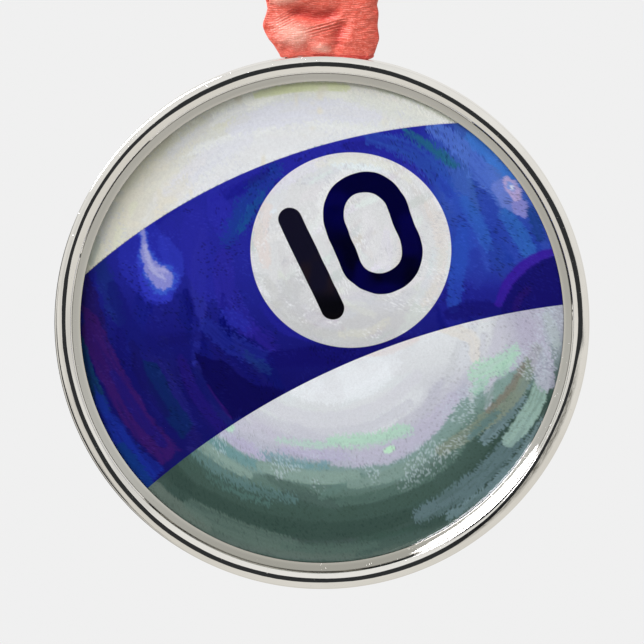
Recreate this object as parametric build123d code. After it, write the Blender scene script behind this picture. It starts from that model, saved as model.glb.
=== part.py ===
from build123d import *
import math
import os

# Round framed hanging ornament: a pressed picture cap held in a cast metal frame, hung by one
# length of satin ribbon that passes under the bar of a wide bail and is tied above it.
# Millimetres. X is to the right, -Y is the front, +Z is up. The origin is the centre of the
# frame's back face, so the back of the ornament lies in the plane Y = 0.

# Frame. Heights are in front of the back face.
FRAME_RADIUS = 36.6
FRAME_DEPTH = 6.35
BACK_ROUNDING = 1.6
BEAD_OUTER_ROUNDING = 1.2
BEAD_INNER_ROUNDING = 0.7
BEAD_INNER_RADIUS = 34.4
GROOVE_WIDTH = 0.2
GROOVE_HEIGHT = 5.05
LIP_TOP_RADIUS = 34.15
LIP_TOP_HEIGHT = 5.35
LIP_FOOT_RADIUS = 33.1
LIP_FOOT_HEIGHT = 4.7
LIP_UNDERSIDE_HEIGHT = 4.35
RECESS_RADIUS = 33.7

# Picture cap: three nested layers, each a shallow dome with a rolled edge and a straight skirt
CAP_RADIUS = 33.5
CAP_ROLL_RADIUS = 0.55
CAP_EDGE_HEIGHT = 4.25
CAP_DOME_RISE = 0.3
FILM_THICKNESS = 0.12
PRINT_THICKNESS = 0.15
SHELL_THICKNESS = 0.25
HEM_HEIGHT = 1.9
HEM_INNER_RADIUS = 32.0

# Cap back, foam disc and back plate
CAP_BACK_THICKNESS = 0.25
CAP_BACK_RADIUS = 32.8
FOAM_RADIUS = 30.0
FOAM_THICKNESS = 0.8
PLATE_RADIUS = 34.6
PLATE_CLEARANCE = 0.05
PLATE_THICKNESS = 0.6

# Bail: a bent round wire whose bar stands above the rim
WIRE_RADIUS = 0.75
BAIL_HALF_WIDTH = 4.6
BAIL_BEND_RADIUS = 1.2
BAR_HEIGHT = 39.0
BAIL_FOOT_HEIGHT = 35.2
BAIL_DEPTH = 3.2

# Ribbon: 5/8 inch satin. Heights are above the frame's centre, and offsets are from the plane
# in which the bail's bar lies.
RIBBON_WIDTH = 15.9
RIBBON_THICKNESS = 0.4
BIGHT_RADIUS = 1.25
SLOT_RIBBON_WIDTH = 2 * (BAIL_HALF_WIDTH - BAIL_BEND_RADIUS)
LEG_OFFSET = 2.4
NARROW_TOP_HEIGHT = BAR_HEIGHT + 0.3
FULL_WIDTH_HEIGHT = BAR_HEIGHT + 2.6
LEGS_PARALLEL_HEIGHT = BAR_HEIGHT + 7.0
TWIST_HEIGHT = 53.0
TWIST_GAP = 0.6
FOLD_HEIGHT = 71.0
FOLD_GAP = 3.6
LOOP_START_HEIGHT = 78.0
LOOP_WIDEST_HEIGHT = 86.0
LOOP_OFFSET = 5.2
KNOT_HEIGHT = 99.2
KNOT_RADIUS = 4.3
KNOT_END_RADIUS = 3.0
KNOT_HALF_WIDTH = 6.2
KNOT_FLAT_HALF_WIDTH = 2.6
KNOT_RIBBON_WIDTH = 9.0
TAIL_OFFSET = 1.6
TAIL_BASE_HEIGHT = 103.8
TAIL_LENGTH = 18.0
TAIL_LEAN = 6.5
TAIL_FLARE_LENGTH = 7.0
TAIL_CUT_DROP = 5.0

FRONT = -1
BACK = 1


def spin(outline):
    """Turn a closed outline, drawn as radius across and Y up, about the ornament's axis."""
    return revolve(make_face(outline), axis=Axis.Y)


def disc(radius, front_height, thickness):
    """A flat disc whose front face stands front_height in front of the frame's back face."""
    back_height = front_height - thickness
    outline = Polyline((0, -front_height), (radius, -front_height), (radius, -back_height),
                       (0, -back_height), close=True)
    return spin(outline)


def bezel_ring():
    """Cast frame: a round bead, a narrow groove inside it, and a lip that slopes in over the cap."""
    corners = [
        ((PLATE_RADIUS, 0), 0),
        ((FRAME_RADIUS, 0), BACK_ROUNDING),
        ((FRAME_RADIUS, -FRAME_DEPTH), BEAD_OUTER_ROUNDING),
        ((BEAD_INNER_RADIUS, -FRAME_DEPTH), BEAD_INNER_ROUNDING),
        ((BEAD_INNER_RADIUS, -GROOVE_HEIGHT), 0),
        ((BEAD_INNER_RADIUS - GROOVE_WIDTH, -GROOVE_HEIGHT), 0),
        ((LIP_TOP_RADIUS, -LIP_TOP_HEIGHT), 0.08),
        ((LIP_FOOT_RADIUS, -LIP_FOOT_HEIGHT), 0.12),
        ((LIP_FOOT_RADIUS, -LIP_UNDERSIDE_HEIGHT), 0.1),
        ((RECESS_RADIUS, -LIP_UNDERSIDE_HEIGHT), 0),
        ((RECESS_RADIUS, -PLATE_THICKNESS), 0),
        ((PLATE_RADIUS, -PLATE_THICKNESS), 0),
    ]
    points = [point for point, _ in corners]
    radii = [radius for _, radius in corners]
    return spin(FilletPolyline(*points, radius=radii, close=True))


def hanger_bail(frame):
    """Bent wire loop, brazed to the rim: its feet are cut to the rim's own surface."""
    path = Plane.XZ * FilletPolyline(
        (-BAIL_HALF_WIDTH, BAIL_FOOT_HEIGHT), (-BAIL_HALF_WIDTH, BAR_HEIGHT),
        (BAIL_HALF_WIDTH, BAR_HEIGHT), (BAIL_HALF_WIDTH, BAIL_FOOT_HEIGHT),
        radius=BAIL_BEND_RADIUS)
    wire = sweep(Plane(path @ 0, z_dir=path % 0) * Circle(WIRE_RADIUS), path=path)
    return Pos(0, -BAIL_DEPTH, 0) * wire - frame


def cap_surface(depth, skirt_end):
    """Line of the cap's outer surface moved inward by depth: dome, rolled edge, skirt."""
    roll_centre = CAP_RADIUS - CAP_ROLL_RADIUS
    roll_height = CAP_EDGE_HEIGHT - CAP_ROLL_RADIUS
    roll = CAP_ROLL_RADIUS - depth
    diagonal = roll * math.sqrt(0.5)
    middle_rise = CAP_DOME_RISE * 0.75
    dome = ThreePointArc((0, depth - CAP_EDGE_HEIGHT - CAP_DOME_RISE),
                         (roll_centre / 2, depth - CAP_EDGE_HEIGHT - middle_rise),
                         (roll_centre, depth - CAP_EDGE_HEIGHT))
    edge = ThreePointArc((roll_centre, depth - CAP_EDGE_HEIGHT),
                         (roll_centre + diagonal, -roll_height - diagonal),
                         (roll_centre + roll, -roll_height))
    skirt = Line((roll_centre + roll, -roll_height), (roll_centre + roll, -skirt_end))
    return [dome, edge, skirt]


def cap_layer(outer_depth, thickness, hem_height, hem):
    """One nested layer of the cap. A hemmed layer turns in under the layer that it covers."""
    inner_depth = outer_depth + thickness
    inner_end = hem_height + thickness if hem else hem_height
    outer = cap_surface(outer_depth, hem_height)
    inner = cap_surface(inner_depth, inner_end)
    outer_foot = outer[-1] @ 1
    inner_foot = inner[-1] @ 1
    if hem:
        turn = Polyline(outer_foot, (HEM_INNER_RADIUS, -hem_height),
                        (HEM_INNER_RADIUS, -inner_end), inner_foot).edges()
    else:
        turn = [Line(outer_foot, inner_foot)]
    axis_line = Line(outer[0] @ 0, inner[0] @ 0)
    return spin(Wire(outer + turn + inner + [axis_line]))


def button_back():
    """Pressed disc that closes the cap: a flat floor whose rim steps up behind the turned hem."""
    floor_back = PLATE_THICKNESS + FOAM_THICKNESS
    floor_front = floor_back + CAP_BACK_THICKNESS
    hem_front = HEM_HEIGHT + FILM_THICKNESS + PRINT_THICKNESS
    rim_front = hem_front + CAP_BACK_THICKNESS
    outline = Polyline(
        (0, -floor_back), (HEM_INNER_RADIUS, -floor_back), (HEM_INNER_RADIUS, -hem_front),
        (CAP_BACK_RADIUS, -hem_front), (CAP_BACK_RADIUS, -rim_front),
        (HEM_INNER_RADIUS - CAP_BACK_THICKNESS, -rim_front),
        (HEM_INNER_RADIUS - CAP_BACK_THICKNESS, -floor_front), (0, -floor_front), close=True)
    return spin(outline)


def side_view(offset, height, side):
    """A point of the ribbon in the YZ plane: offset in front of or behind the bail's bar."""
    return (side * offset - BAIL_DEPTH, height)


def strip(path, outline):
    """Ribbon along a side-view path, cut to its front-view outline."""
    section = Plane.YZ * trace(path, line_width=RIBBON_THICKNESS)
    sheet = extrude(section, amount=RIBBON_WIDTH / 2, both=True)
    return sheet & extrude(Plane.XZ * make_face(outline), amount=4 * LOOP_OFFSET, both=True)


def band(low, high, low_width=RIBBON_WIDTH, flare_end=None, cut_drop=0.0):
    """Front-view outline of a ribbon run that may start narrow, flare out and end in a slant."""
    flare_end = low if flare_end is None else flare_end
    half = RIBBON_WIDTH / 2
    points = [(-low_width / 2, low), (low_width / 2, low)]
    if flare_end > low:
        points.append((half, flare_end))
    points += [(half, high - cut_drop), (-half, high)]
    if flare_end > low:
        points.append((-half, flare_end))
    return Polyline(*points, close=True)


def leg_to_bight(side):
    """Leg from the twist gap down to the start of the bight, drawing in towards the bar."""
    top = TWIST_HEIGHT - TWIST_GAP / 2
    middle = (BAR_HEIGHT + LEGS_PARALLEL_HEIGHT) / 2
    straight = Line(side_view(LEG_OFFSET, top, side),
                    side_view(LEG_OFFSET, LEGS_PARALLEL_HEIGHT, side))
    gather = Bezier(side_view(LEG_OFFSET, LEGS_PARALLEL_HEIGHT, side),
                    side_view(LEG_OFFSET, middle, side),
                    side_view(BIGHT_RADIUS, middle, side),
                    side_view(BIGHT_RADIUS, BAR_HEIGHT, side))
    return [straight, gather]


def ribbon_lower():
    """Bight under the bail's bar, and both legs up to the twist gap."""
    bight = ThreePointArc(side_view(BIGHT_RADIUS, BAR_HEIGHT, FRONT),
                          side_view(0, BAR_HEIGHT - BIGHT_RADIUS, FRONT),
                          side_view(BIGHT_RADIUS, BAR_HEIGHT, BACK))
    path = Wire(leg_to_bight(FRONT) + [bight] + leg_to_bight(BACK))
    low = BAR_HEIGHT - BIGHT_RADIUS - RIBBON_THICKNESS
    half_slot = SLOT_RIBBON_WIDTH / 2
    half = RIBBON_WIDTH / 2
    top = TWIST_HEIGHT
    outline = Polyline((-half_slot, low), (half_slot, low), (half_slot, NARROW_TOP_HEIGHT),
                       (half, FULL_WIDTH_HEIGHT), (half, top), (-half, top),
                       (-half, FULL_WIDTH_HEIGHT), (-half_slot, NARROW_TOP_HEIGHT), close=True)
    return strip(path, outline)


def ribbon_middle(side):
    """Straight run of one leg between the twist gap and the fold gap."""
    low = TWIST_HEIGHT + TWIST_GAP / 2
    high = FOLD_HEIGHT - FOLD_GAP / 2
    path = Line(side_view(LEG_OFFSET, low, side), side_view(LEG_OFFSET, high, side))
    return strip(path, band(low, high))


def ribbon_upper(side, knot):
    """One side of the hanging loop, from the fold gap up and over to the underside of the knot."""
    low = FOLD_HEIGHT + FOLD_GAP / 2
    knot_underside = KNOT_HEIGHT - KNOT_RADIUS
    swell = (LOOP_START_HEIGHT + LOOP_WIDEST_HEIGHT) / 2
    rise = knot_underside - LOOP_WIDEST_HEIGHT
    path = Wire([
        Line(side_view(LEG_OFFSET, low, side), side_view(LEG_OFFSET, LOOP_START_HEIGHT, side)),
        Bezier(side_view(LEG_OFFSET, LOOP_START_HEIGHT, side), side_view(LEG_OFFSET, swell, side),
               side_view(LOOP_OFFSET, swell, side),
               side_view(LOOP_OFFSET, LOOP_WIDEST_HEIGHT, side)),
        Bezier(side_view(LOOP_OFFSET, LOOP_WIDEST_HEIGHT, side),
               side_view(LOOP_OFFSET, LOOP_WIDEST_HEIGHT + 0.55 * rise, side),
               side_view(0.6 * LOOP_OFFSET, knot_underside - 0.2, side),
               side_view(1.2 * RIBBON_THICKNESS, knot_underside + 0.3, side)),
    ])
    half = RIBBON_WIDTH / 2
    half_knot = KNOT_RIBBON_WIDTH / 2
    outline = Polyline((-half, low), (half, low), (half, LOOP_WIDEST_HEIGHT),
                       (half_knot, knot_underside + 1), (-half_knot, knot_underside + 1),
                       (-half, LOOP_WIDEST_HEIGHT), close=True)
    return strip(path, outline) - knot


def ribbon_knot():
    """Overhand knot, as a plain barrel with rounded shoulders that lies across the ribbon."""
    outline = FilletPolyline(
        (-KNOT_HALF_WIDTH, 0), (-KNOT_HALF_WIDTH, KNOT_END_RADIUS),
        (-KNOT_FLAT_HALF_WIDTH, KNOT_RADIUS), (KNOT_FLAT_HALF_WIDTH, KNOT_RADIUS),
        (KNOT_HALF_WIDTH, KNOT_END_RADIUS), (KNOT_HALF_WIDTH, 0),
        radius=[0, 1.5, 2.0, 2.0, 1.5, 0], close=True)
    barrel = revolve(make_face(outline), axis=Axis.X)
    return Pos(0, -BAIL_DEPTH, KNOT_HEIGHT) * barrel


def ribbon_tail(side):
    """Free end of the ribbon above the knot: leans outward, flares out and ends in a slant."""
    tip_height = TAIL_BASE_HEIGHT + TAIL_LENGTH
    tip_offset = TAIL_OFFSET + TAIL_LEAN
    third = TAIL_LENGTH / 3
    path = Bezier(side_view(TAIL_OFFSET, TAIL_BASE_HEIGHT, side),
                  side_view(TAIL_OFFSET + 0.2 * TAIL_LEAN, TAIL_BASE_HEIGHT + third, side),
                  side_view(TAIL_OFFSET + 0.5 * TAIL_LEAN, tip_height - third, side),
                  side_view(tip_offset, tip_height, side))
    outline = band(TAIL_BASE_HEIGHT - 1, tip_height, low_width=KNOT_RIBBON_WIDTH,
                   flare_end=TAIL_BASE_HEIGHT + TAIL_FLARE_LENGTH, cut_drop=TAIL_CUT_DROP)
    tail = strip(path, outline)
    return tail if side == FRONT else mirror(tail, about=Plane.YZ)


def build():
    """Every node of the ornament by name."""
    frame = bezel_ring()
    knot = ribbon_knot()
    print_depth = FILM_THICKNESS
    shell_depth = FILM_THICKNESS + PRINT_THICKNESS
    return {
        "bezel_ring": frame,
        "hanger_bail": hanger_bail(frame),
        "film_cover": cap_layer(0, FILM_THICKNESS, HEM_HEIGHT, hem=True),
        "picture_print": cap_layer(print_depth, PRINT_THICKNESS,
                                   HEM_HEIGHT + FILM_THICKNESS, hem=True),
        "button_shell": cap_layer(shell_depth, SHELL_THICKNESS,
                                  HEM_HEIGHT + FILM_THICKNESS + PRINT_THICKNESS, hem=False),
        "button_back": button_back(),
        "foam_pad": disc(FOAM_RADIUS, PLATE_THICKNESS + FOAM_THICKNESS, FOAM_THICKNESS),
        "back_plate": disc(PLATE_RADIUS - PLATE_CLEARANCE, PLATE_THICKNESS, PLATE_THICKNESS),
        "ribbon_lower": ribbon_lower(),
        "ribbon_mid_front": ribbon_middle(FRONT),
        "ribbon_mid_back": ribbon_middle(BACK),
        "ribbon_upper_front": ribbon_upper(FRONT, knot),
        "ribbon_upper_back": ribbon_upper(BACK, knot),
        "ribbon_knot": knot,
        "ribbon_tail_front": ribbon_tail(FRONT),
        "ribbon_tail_back": ribbon_tail(BACK),
    }


os.makedirs("parts", exist_ok=True)
for node, solid in build().items():
    export_step(solid, "parts/" + node + ".step")
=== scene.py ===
import math

import bmesh
import bpy
import numpy as np
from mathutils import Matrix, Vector


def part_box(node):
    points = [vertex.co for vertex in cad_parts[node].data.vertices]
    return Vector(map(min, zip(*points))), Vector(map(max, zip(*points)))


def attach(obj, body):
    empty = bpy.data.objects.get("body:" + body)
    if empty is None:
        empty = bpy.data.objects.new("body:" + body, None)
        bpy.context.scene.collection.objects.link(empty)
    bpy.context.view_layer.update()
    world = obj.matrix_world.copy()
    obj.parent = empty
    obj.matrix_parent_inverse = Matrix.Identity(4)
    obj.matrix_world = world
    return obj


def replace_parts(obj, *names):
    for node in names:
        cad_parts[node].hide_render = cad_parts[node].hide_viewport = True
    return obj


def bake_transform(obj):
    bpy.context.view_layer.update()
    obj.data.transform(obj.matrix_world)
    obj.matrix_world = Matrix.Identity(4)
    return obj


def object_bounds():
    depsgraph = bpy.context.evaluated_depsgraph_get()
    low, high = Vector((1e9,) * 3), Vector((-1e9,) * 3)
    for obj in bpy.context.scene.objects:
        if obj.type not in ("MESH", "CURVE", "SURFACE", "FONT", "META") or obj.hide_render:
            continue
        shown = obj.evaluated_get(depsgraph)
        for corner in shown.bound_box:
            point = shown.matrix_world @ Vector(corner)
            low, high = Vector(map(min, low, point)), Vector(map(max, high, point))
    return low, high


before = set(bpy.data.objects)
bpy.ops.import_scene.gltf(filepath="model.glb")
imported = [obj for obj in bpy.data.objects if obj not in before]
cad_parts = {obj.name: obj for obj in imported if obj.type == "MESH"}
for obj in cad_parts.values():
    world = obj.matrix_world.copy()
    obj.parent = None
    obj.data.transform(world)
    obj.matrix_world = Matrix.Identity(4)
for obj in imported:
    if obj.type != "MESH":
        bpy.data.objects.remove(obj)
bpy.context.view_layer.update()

# Lengths below are millimetres unless a name says otherwise. The frame is in metres.
MM = 0.001
TURN = 2 * math.pi

# Sizes of the fixed frame, read from its nodes
RING_LOW, RING_HIGH = (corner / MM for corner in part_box("bezel_ring"))
RING_RADIUS = (RING_HIGH.x - RING_LOW.x) / 2
RING_DEPTH = RING_HIGH.y - RING_LOW.y
BAIL_LOW, BAIL_HIGH = (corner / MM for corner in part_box("hanger_bail"))
WIRE_RADIUS = 0.75
BAR_HEIGHT = BAIL_HIGH.z - WIRE_RADIUS
BAR_PLANE = (BAIL_HIGH.y + BAIL_LOW.y) / 2
BAIL_HALF_WIDTH = BAIL_HIGH.x - WIRE_RADIUS
KNOT_LOW, KNOT_HIGH = (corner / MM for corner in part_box("ribbon_knot"))
KNOT_HEIGHT = (KNOT_LOW.z + KNOT_HIGH.z) / 2
CAP_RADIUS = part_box("film_cover")[1].x / MM
RIBBON_HALF = 7.95

# Camera: PICTURE_WIDTH is the width that it sees at the ornament's distance
CAMERA_ELEVATION = math.radians(5.0)
CAMERA_DISTANCE = 850.0
PICTURE_WIDTH = 88.36


# ---------------------------------------------------------------- numbers and noise

def ease(low, high, value):
    """0 below low, 1 above high, smooth between. Works with low above high too."""
    t = np.clip((value - low) / (high - low), 0, 1)
    return t * t * (3 - 2 * t)


def bump(value, centre, width):
    """1 at the centre, falling smoothly to almost nothing at twice the width."""
    return np.exp(-((value - centre) / width) ** 2)


class Grain:
    """Seeded smooth noise between 0 and 1 over a plane."""

    def __init__(self, seed):
        self.table = np.random.default_rng(seed).random((256, 256))

    def at(self, x, z, size_x, size_z=None):
        u = np.asarray(x, float) / size_x + 77.3
        v = np.asarray(z, float) / (size_z or size_x) + 31.7
        i, j = np.floor(u).astype(int), np.floor(v).astype(int)
        s, t = ease(0, 1, u - i), ease(0, 1, v - j)
        cell = lambda a, b: self.table[(i + a) & 255, (j + b) & 255]
        low = cell(0, 0) * (1 - s) + cell(1, 0) * s
        high = cell(0, 1) * (1 - s) + cell(1, 1) * s
        return low * (1 - t) + high * t


def smooth_rows(rows, count):
    """count rows on a smooth curve through the given rows, evenly spaced in row number."""
    rows = np.array(rows, float)
    padded = np.vstack([2 * rows[0] - rows[1], rows, 2 * rows[-1] - rows[-2]])
    t = np.linspace(0, len(rows) - 1 - 1e-9, count)
    k = t.astype(int)
    f = (t - k)[:, None]
    a, b, c, d = (padded[k + n] for n in range(4))
    return 0.5 * (2 * b + (c - a) * f + (2 * a - 5 * b + 4 * c - d) * f ** 2
                  + (3 * b - a - 3 * c + d) * f ** 3)


def rounded(corners, steps=6):
    """A closed outline with each corner (x, y, radius) rounded off."""
    points = []
    for k, (x, y, radius) in enumerate(corners):
        corner = np.array((x, y), float)
        before = np.array(corners[k - 1][:2], float) - corner
        after = np.array(corners[(k + 1) % len(corners)][:2], float) - corner
        if radius <= 0:
            points.append(corner)
            continue
        before /= np.linalg.norm(before)
        after /= np.linalg.norm(after)
        half = math.acos(float(np.clip(before @ after, -1, 1))) / 2
        reach = radius / math.tan(half)
        middle = corner + (before + after) / np.linalg.norm(before + after) * radius / math.sin(half)
        start = corner + before * reach - middle
        end = corner + after * reach - middle
        angle = math.acos(float(np.clip(start @ end / radius ** 2, -1, 1)))
        for n in range(steps + 1):
            t = n / steps
            arm = (start * math.sin((1 - t) * angle) + end * math.sin(t * angle)) / math.sin(angle)
            points.append(middle + arm)
    return points


# ---------------------------------------------------------------- mesh pieces

def make_piece(name, points, faces, material, sharp=40):
    """A mesh object from points in millimetres, smooth shaded apart from sharp edges."""
    mesh = bpy.data.meshes.new(name)
    mesh.from_pydata((np.asarray(points) * MM).tolist(), [], faces)
    mesh.materials.append(material)
    mesh.shade_smooth()
    if sharp:
        mesh.set_sharp_from_angle(angle=math.radians(sharp))
    piece = bpy.data.objects.new(name, mesh)
    bpy.context.scene.collection.objects.link(piece)
    return piece


def set_values(piece, **columns):
    """Stores one number or colour per point of a piece, for its material to read."""
    for name, values in columns.items():
        values = np.asarray(values, np.float32)
        if values.ndim == 1:
            attribute = piece.data.attributes.new(name, "FLOAT", "POINT")
            attribute.data.foreach_set("value", values)
        else:
            attribute = piece.data.attributes.new(name, "FLOAT_COLOR", "POINT")
            opaque = np.ones((len(values), 1), np.float32)
            attribute.data.foreach_set("color", np.hstack([values, opaque]).ravel())


def quad_grid(rows, columns, wrap_rows=False, wrap_columns=False, first=0):
    """Faces that join a grid of points, numbered row by row."""
    row = np.arange(rows if wrap_rows else rows - 1)
    column = np.arange(columns if wrap_columns else columns - 1)
    r, c = np.meshgrid(row, column, indexing="ij")
    r2, c2 = (r + 1) % rows, (c + 1) % columns
    faces = np.stack([r * columns + c, r * columns + c2, r2 * columns + c2, r2 * columns + c], -1)
    return (faces.reshape(-1, 4) + first).tolist()


def lathe(name, outline, material, segments=360, shape=None, sharp=40):
    """Turns an outline of (radius, height) about the ornament's axis. shape may move the points."""
    outline = np.array(outline, float)
    turn = np.linspace(0, TURN, segments, endpoint=False)[:, None]
    radius = np.repeat(outline[None, :, 0], segments, 0)
    height = np.repeat(outline[None, :, 1], segments, 0)
    if shape:
        radius, height = shape(radius, height, turn)
    points = np.stack([radius * np.sin(turn), -height, radius * np.cos(turn)], -1).reshape(-1, 3)
    on_axis = outline[0, 0] == 0
    faces = quad_grid(segments, len(outline), wrap_rows=True, wrap_columns=not on_axis)
    piece = make_piece(name, points, faces, material, sharp)
    if on_axis:
        close_centre(piece)
    return piece


def close_centre(piece):
    """Joins the points that an outline ending on the axis leaves in one place."""
    work = bmesh.new()
    work.from_mesh(piece.data)
    bmesh.ops.remove_doubles(work, verts=work.verts, dist=0.001 * MM)
    work.to_mesh(piece.data)
    work.free()


def ribbon_sheet(name, centre, left, right, material, thickness=0.3, across=49, relief=None,
                 sag=None, tone=None):
    """A ribbon: centre is its line in side view (depth, height), left and right its edges.
    relief(x, height) moves the cloth off its line, sag(x, height) lowers it, and tone(x, height)
    adds painted light and shade to its colour. The sheet is a closed shell."""
    centre = np.asarray(centre, float)
    run = np.gradient(centre, axis=0)
    run /= np.linalg.norm(run, axis=1)[:, None]
    outward = np.stack([run[:, 1], -run[:, 0]], 1)
    step = np.linalg.norm(np.diff(centre, axis=0), axis=1)
    length = np.concatenate([[0], np.cumsum(step)])
    share = np.linspace(0, 1, across)
    x = left[:, None] * (1 - share) + right[:, None] * share
    rows = len(centre)
    height = np.repeat(centre[:, 1:2], across, 1)
    lift = relief(x, height) if relief else np.zeros_like(x)
    drop = sag(x, height) if sag else np.zeros_like(x)
    shade = lift + (tone(x, height) if tone else 0)
    half = thickness / 2 * (1 + 0.35 * (ease(0.035, 0.01, share) + ease(0.965, 0.99, share)))
    half = half * np.sqrt(np.clip(1 - (2 * share - 1) ** 40, 0.02, 1))
    sides = []
    for side in (1, -1):
        offset = lift + side * half
        y = centre[:, 0:1] + outward[:, 0:1] * offset
        z = centre[:, 1:2] + outward[:, 1:2] * offset - drop
        sides.append(np.stack([x, y, z], -1))
    loop = np.concatenate([sides[0], sides[1][:, ::-1]], 1)
    faces = quad_grid(rows, 2 * across, wrap_columns=True)
    faces = [tuple(reversed(face)) for face in faces]
    faces.append(list(range(2 * across)))
    faces.append(list(reversed(range((rows - 1) * 2 * across, rows * 2 * across))))
    piece = make_piece(name, loop.reshape(-1, 3), faces, material, sharp=60)
    width = np.broadcast_to((share - 0.5) * 2 * RIBBON_HALF, (rows, across))
    along = np.broadcast_to(length[:, None], (rows, 2 * across))
    # Lift and tone are stored as painted shading: painted shade where the cloth sinks, painted highlight
    # where it rises
    set_values(piece, along=along.ravel(),
               across=np.concatenate([width, width[:, ::-1]], 1).ravel(),
               fold=np.concatenate([shade, -lift[:, ::-1]], 1).ravel())
    return piece


# ---------------------------------------------------------------- node materials

class Nodes:
    """Short helpers for building a node tree."""

    def __init__(self, tree):
        self.tree = tree
        tree.nodes.clear()

    def add(self, kind, inputs=None, **settings):
        node = self.tree.nodes.new(kind)
        for key, value in settings.items():
            setattr(node, key, value)
        for key, value in (inputs or {}).items():
            self.feed(node.inputs[key], value)
        return node

    def feed(self, socket, value):
        if isinstance(value, bpy.types.NodeSocket):
            self.tree.links.new(value, socket)
        elif socket.type == "RGBA" and len(value) == 3:
            socket.default_value = (*value, 1)
        else:
            socket.default_value = value

    def calc(self, operation, a, b=0.0, c=0.0):
        inputs = {0: a, 1: b, 2: c}
        return self.add("ShaderNodeMath", inputs, operation=operation).outputs[0]

    def times(self, a, b):
        return self.calc("MULTIPLY", a, b)

    def plus(self, a, b):
        return self.calc("ADD", a, b)

    def steps(self, value, low, high, to_low=0.0, to_high=1.0):
        inputs = {0: value, 1: low, 2: high, 3: to_low, 4: to_high}
        node = self.add("ShaderNodeMapRange", inputs, interpolation_type="SMOOTHSTEP")
        return node.outputs[0]

    def mix(self, factor, a, b, blend="MIX"):
        inputs = {0: factor, 6: a, 7: b}
        node = self.add("ShaderNodeMix", inputs, data_type="RGBA", blend_type=blend)
        return node.outputs[2]

    def noise(self, vector, scale, detail=2.0, roughness=0.5):
        inputs = {"Vector": vector, "Scale": scale, "Detail": detail, "Roughness": roughness}
        return self.add("ShaderNodeTexNoise", inputs).outputs[0]

    def join(self, x, y=0.0, z=0.0):
        return self.add("ShaderNodeCombineXYZ", {0: x, 1: y, 2: z}).outputs[0]

    def dot(self, vector, constant):
        node = self.add("ShaderNodeVectorMath", {0: vector, 1: constant}, operation="DOT_PRODUCT")
        return node.outputs["Value"]

    def read(self, name, output="Fac"):
        return self.add("ShaderNodeAttribute", attribute_name=name).outputs[output]

    def place(self):
        """Position in millimetres, and its X, Y and Z."""
        coordinates = self.add("ShaderNodeTexCoord").outputs["Object"]
        scaled = self.add("ShaderNodeVectorMath", {0: coordinates, 1: (1000, 1000, 1000)},
                          operation="MULTIPLY").outputs[0]
        split = self.add("ShaderNodeSeparateXYZ", {0: scaled})
        return scaled, split.outputs[0], split.outputs[1], split.outputs[2]

    def polar(self):
        """Distance from the ornament's axis and the distance around it, in millimetres."""
        _, x, _, z = self.place()
        radius = self.calc("SQRT", self.plus(self.times(x, x),
                                             self.times(z, z)))
        return radius, self.times(self.calc("ARCTAN2", x, z), RING_RADIUS)

    def bumped(self, height, distance, strength=1.0):
        inputs = {"Height": height, "Distance": distance * MM, "Strength": strength}
        return self.add("ShaderNodeBump", inputs).outputs[0]

    def surface(self, **inputs):
        inputs = {key.replace("_", " "): value for key, value in inputs.items()}
        shader = self.add("ShaderNodeBsdfPrincipled", inputs)
        self.add("ShaderNodeOutputMaterial", {0: shader.outputs[0]})


def new_material(name):
    material = bpy.data.materials.new(name)
    material.use_nodes = True
    return material, Nodes(material.node_tree)


def silver_material():
    """Polished plated metal: fine polishing lines around the ring, pits and stray scratches."""
    material, n = new_material("polished_silver_plate")
    radius, around = n.polar()
    place, _, _, height = n.place()
    lines = n.noise(n.join(n.times(radius, 9.0), n.times(around, 0.25)),
                    1.0, 3.0, 0.7)
    stray = n.noise(n.join(n.times(radius, 2.2), n.times(around, 6.0)), 1.0, 2.0)
    pits = n.steps(n.noise(place, 3.3, 3.0, 0.65), 0.70, 0.76)
    scratches = n.steps(stray, 0.71, 0.75)
    cloud = n.noise(place, 0.22, 2.0)
    # Painted shade: the lip is darker than the bead, and darker still towards the bottom
    lip = n.steps(radius, 34.32, 34.18)
    bright = n.mix(cloud, (0.84, 0.825, 0.79), (0.93, 0.92, 0.89))
    shaded_lip_colour = n.mix(n.steps(height, -18, -34), (0.62, 0.615, 0.58), (0.48, 0.47, 0.42))
    colour = n.mix(lip, bright, shaded_lip_colour)
    # Painted dark reflection: a streaky dark stretch across the crown, low on the right
    painted_dark_reflection = n.times(n.times(n.steps(around, 60, 68), n.steps(around, 98, 90)),
                   n.times(n.steps(radius, 35.0, 35.2), n.steps(radius, 35.95, 35.4)))
    lower_right_weight = n.noise(n.join(n.times(radius, 7.0), n.times(around, 0.7)), 1.0, 4.0, 0.7)
    painted_dark_reflection = n.times(painted_dark_reflection, n.steps(lower_right_weight, 0.35, 0.62, 0.25, 0.85))
    colour = n.mix(painted_dark_reflection, colour, (0.10, 0.095, 0.075))
    colour = n.mix(n.times(pits, 0.35), colour, (0.25, 0.24, 0.22))
    rough = n.plus(n.steps(lines, 0.35, 0.75, 0.02, 0.07), n.times(scratches, 0.25))
    relief = n.plus(n.times(lines, 0.5), n.times(scratches, 0.6))
    n.surface(Base_Color=colour, Metallic=1.0, Roughness=rough,
              Normal=n.bumped(relief, 0.006))
    return material


def wire_material():
    """Plated wire, a little duller than the ring, with drawing lines along it."""
    material, n = new_material("plated_wire")
    place, x, _, z = n.place()
    lines = n.noise(n.join(n.times(x, 0.4), n.times(z, 0.4), 0.0), 6.0, 3.0)
    spots = n.noise(place, 2.0, 3.0)
    colour = n.mix(spots, (0.70, 0.68, 0.63), (0.88, 0.87, 0.84))
    n.surface(Base_Color=colour, Metallic=1.0, Roughness=n.steps(lines, 0.3, 0.7, 0.12, 0.26),
              Normal=n.bumped(spots, 0.01))
    return material


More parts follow.
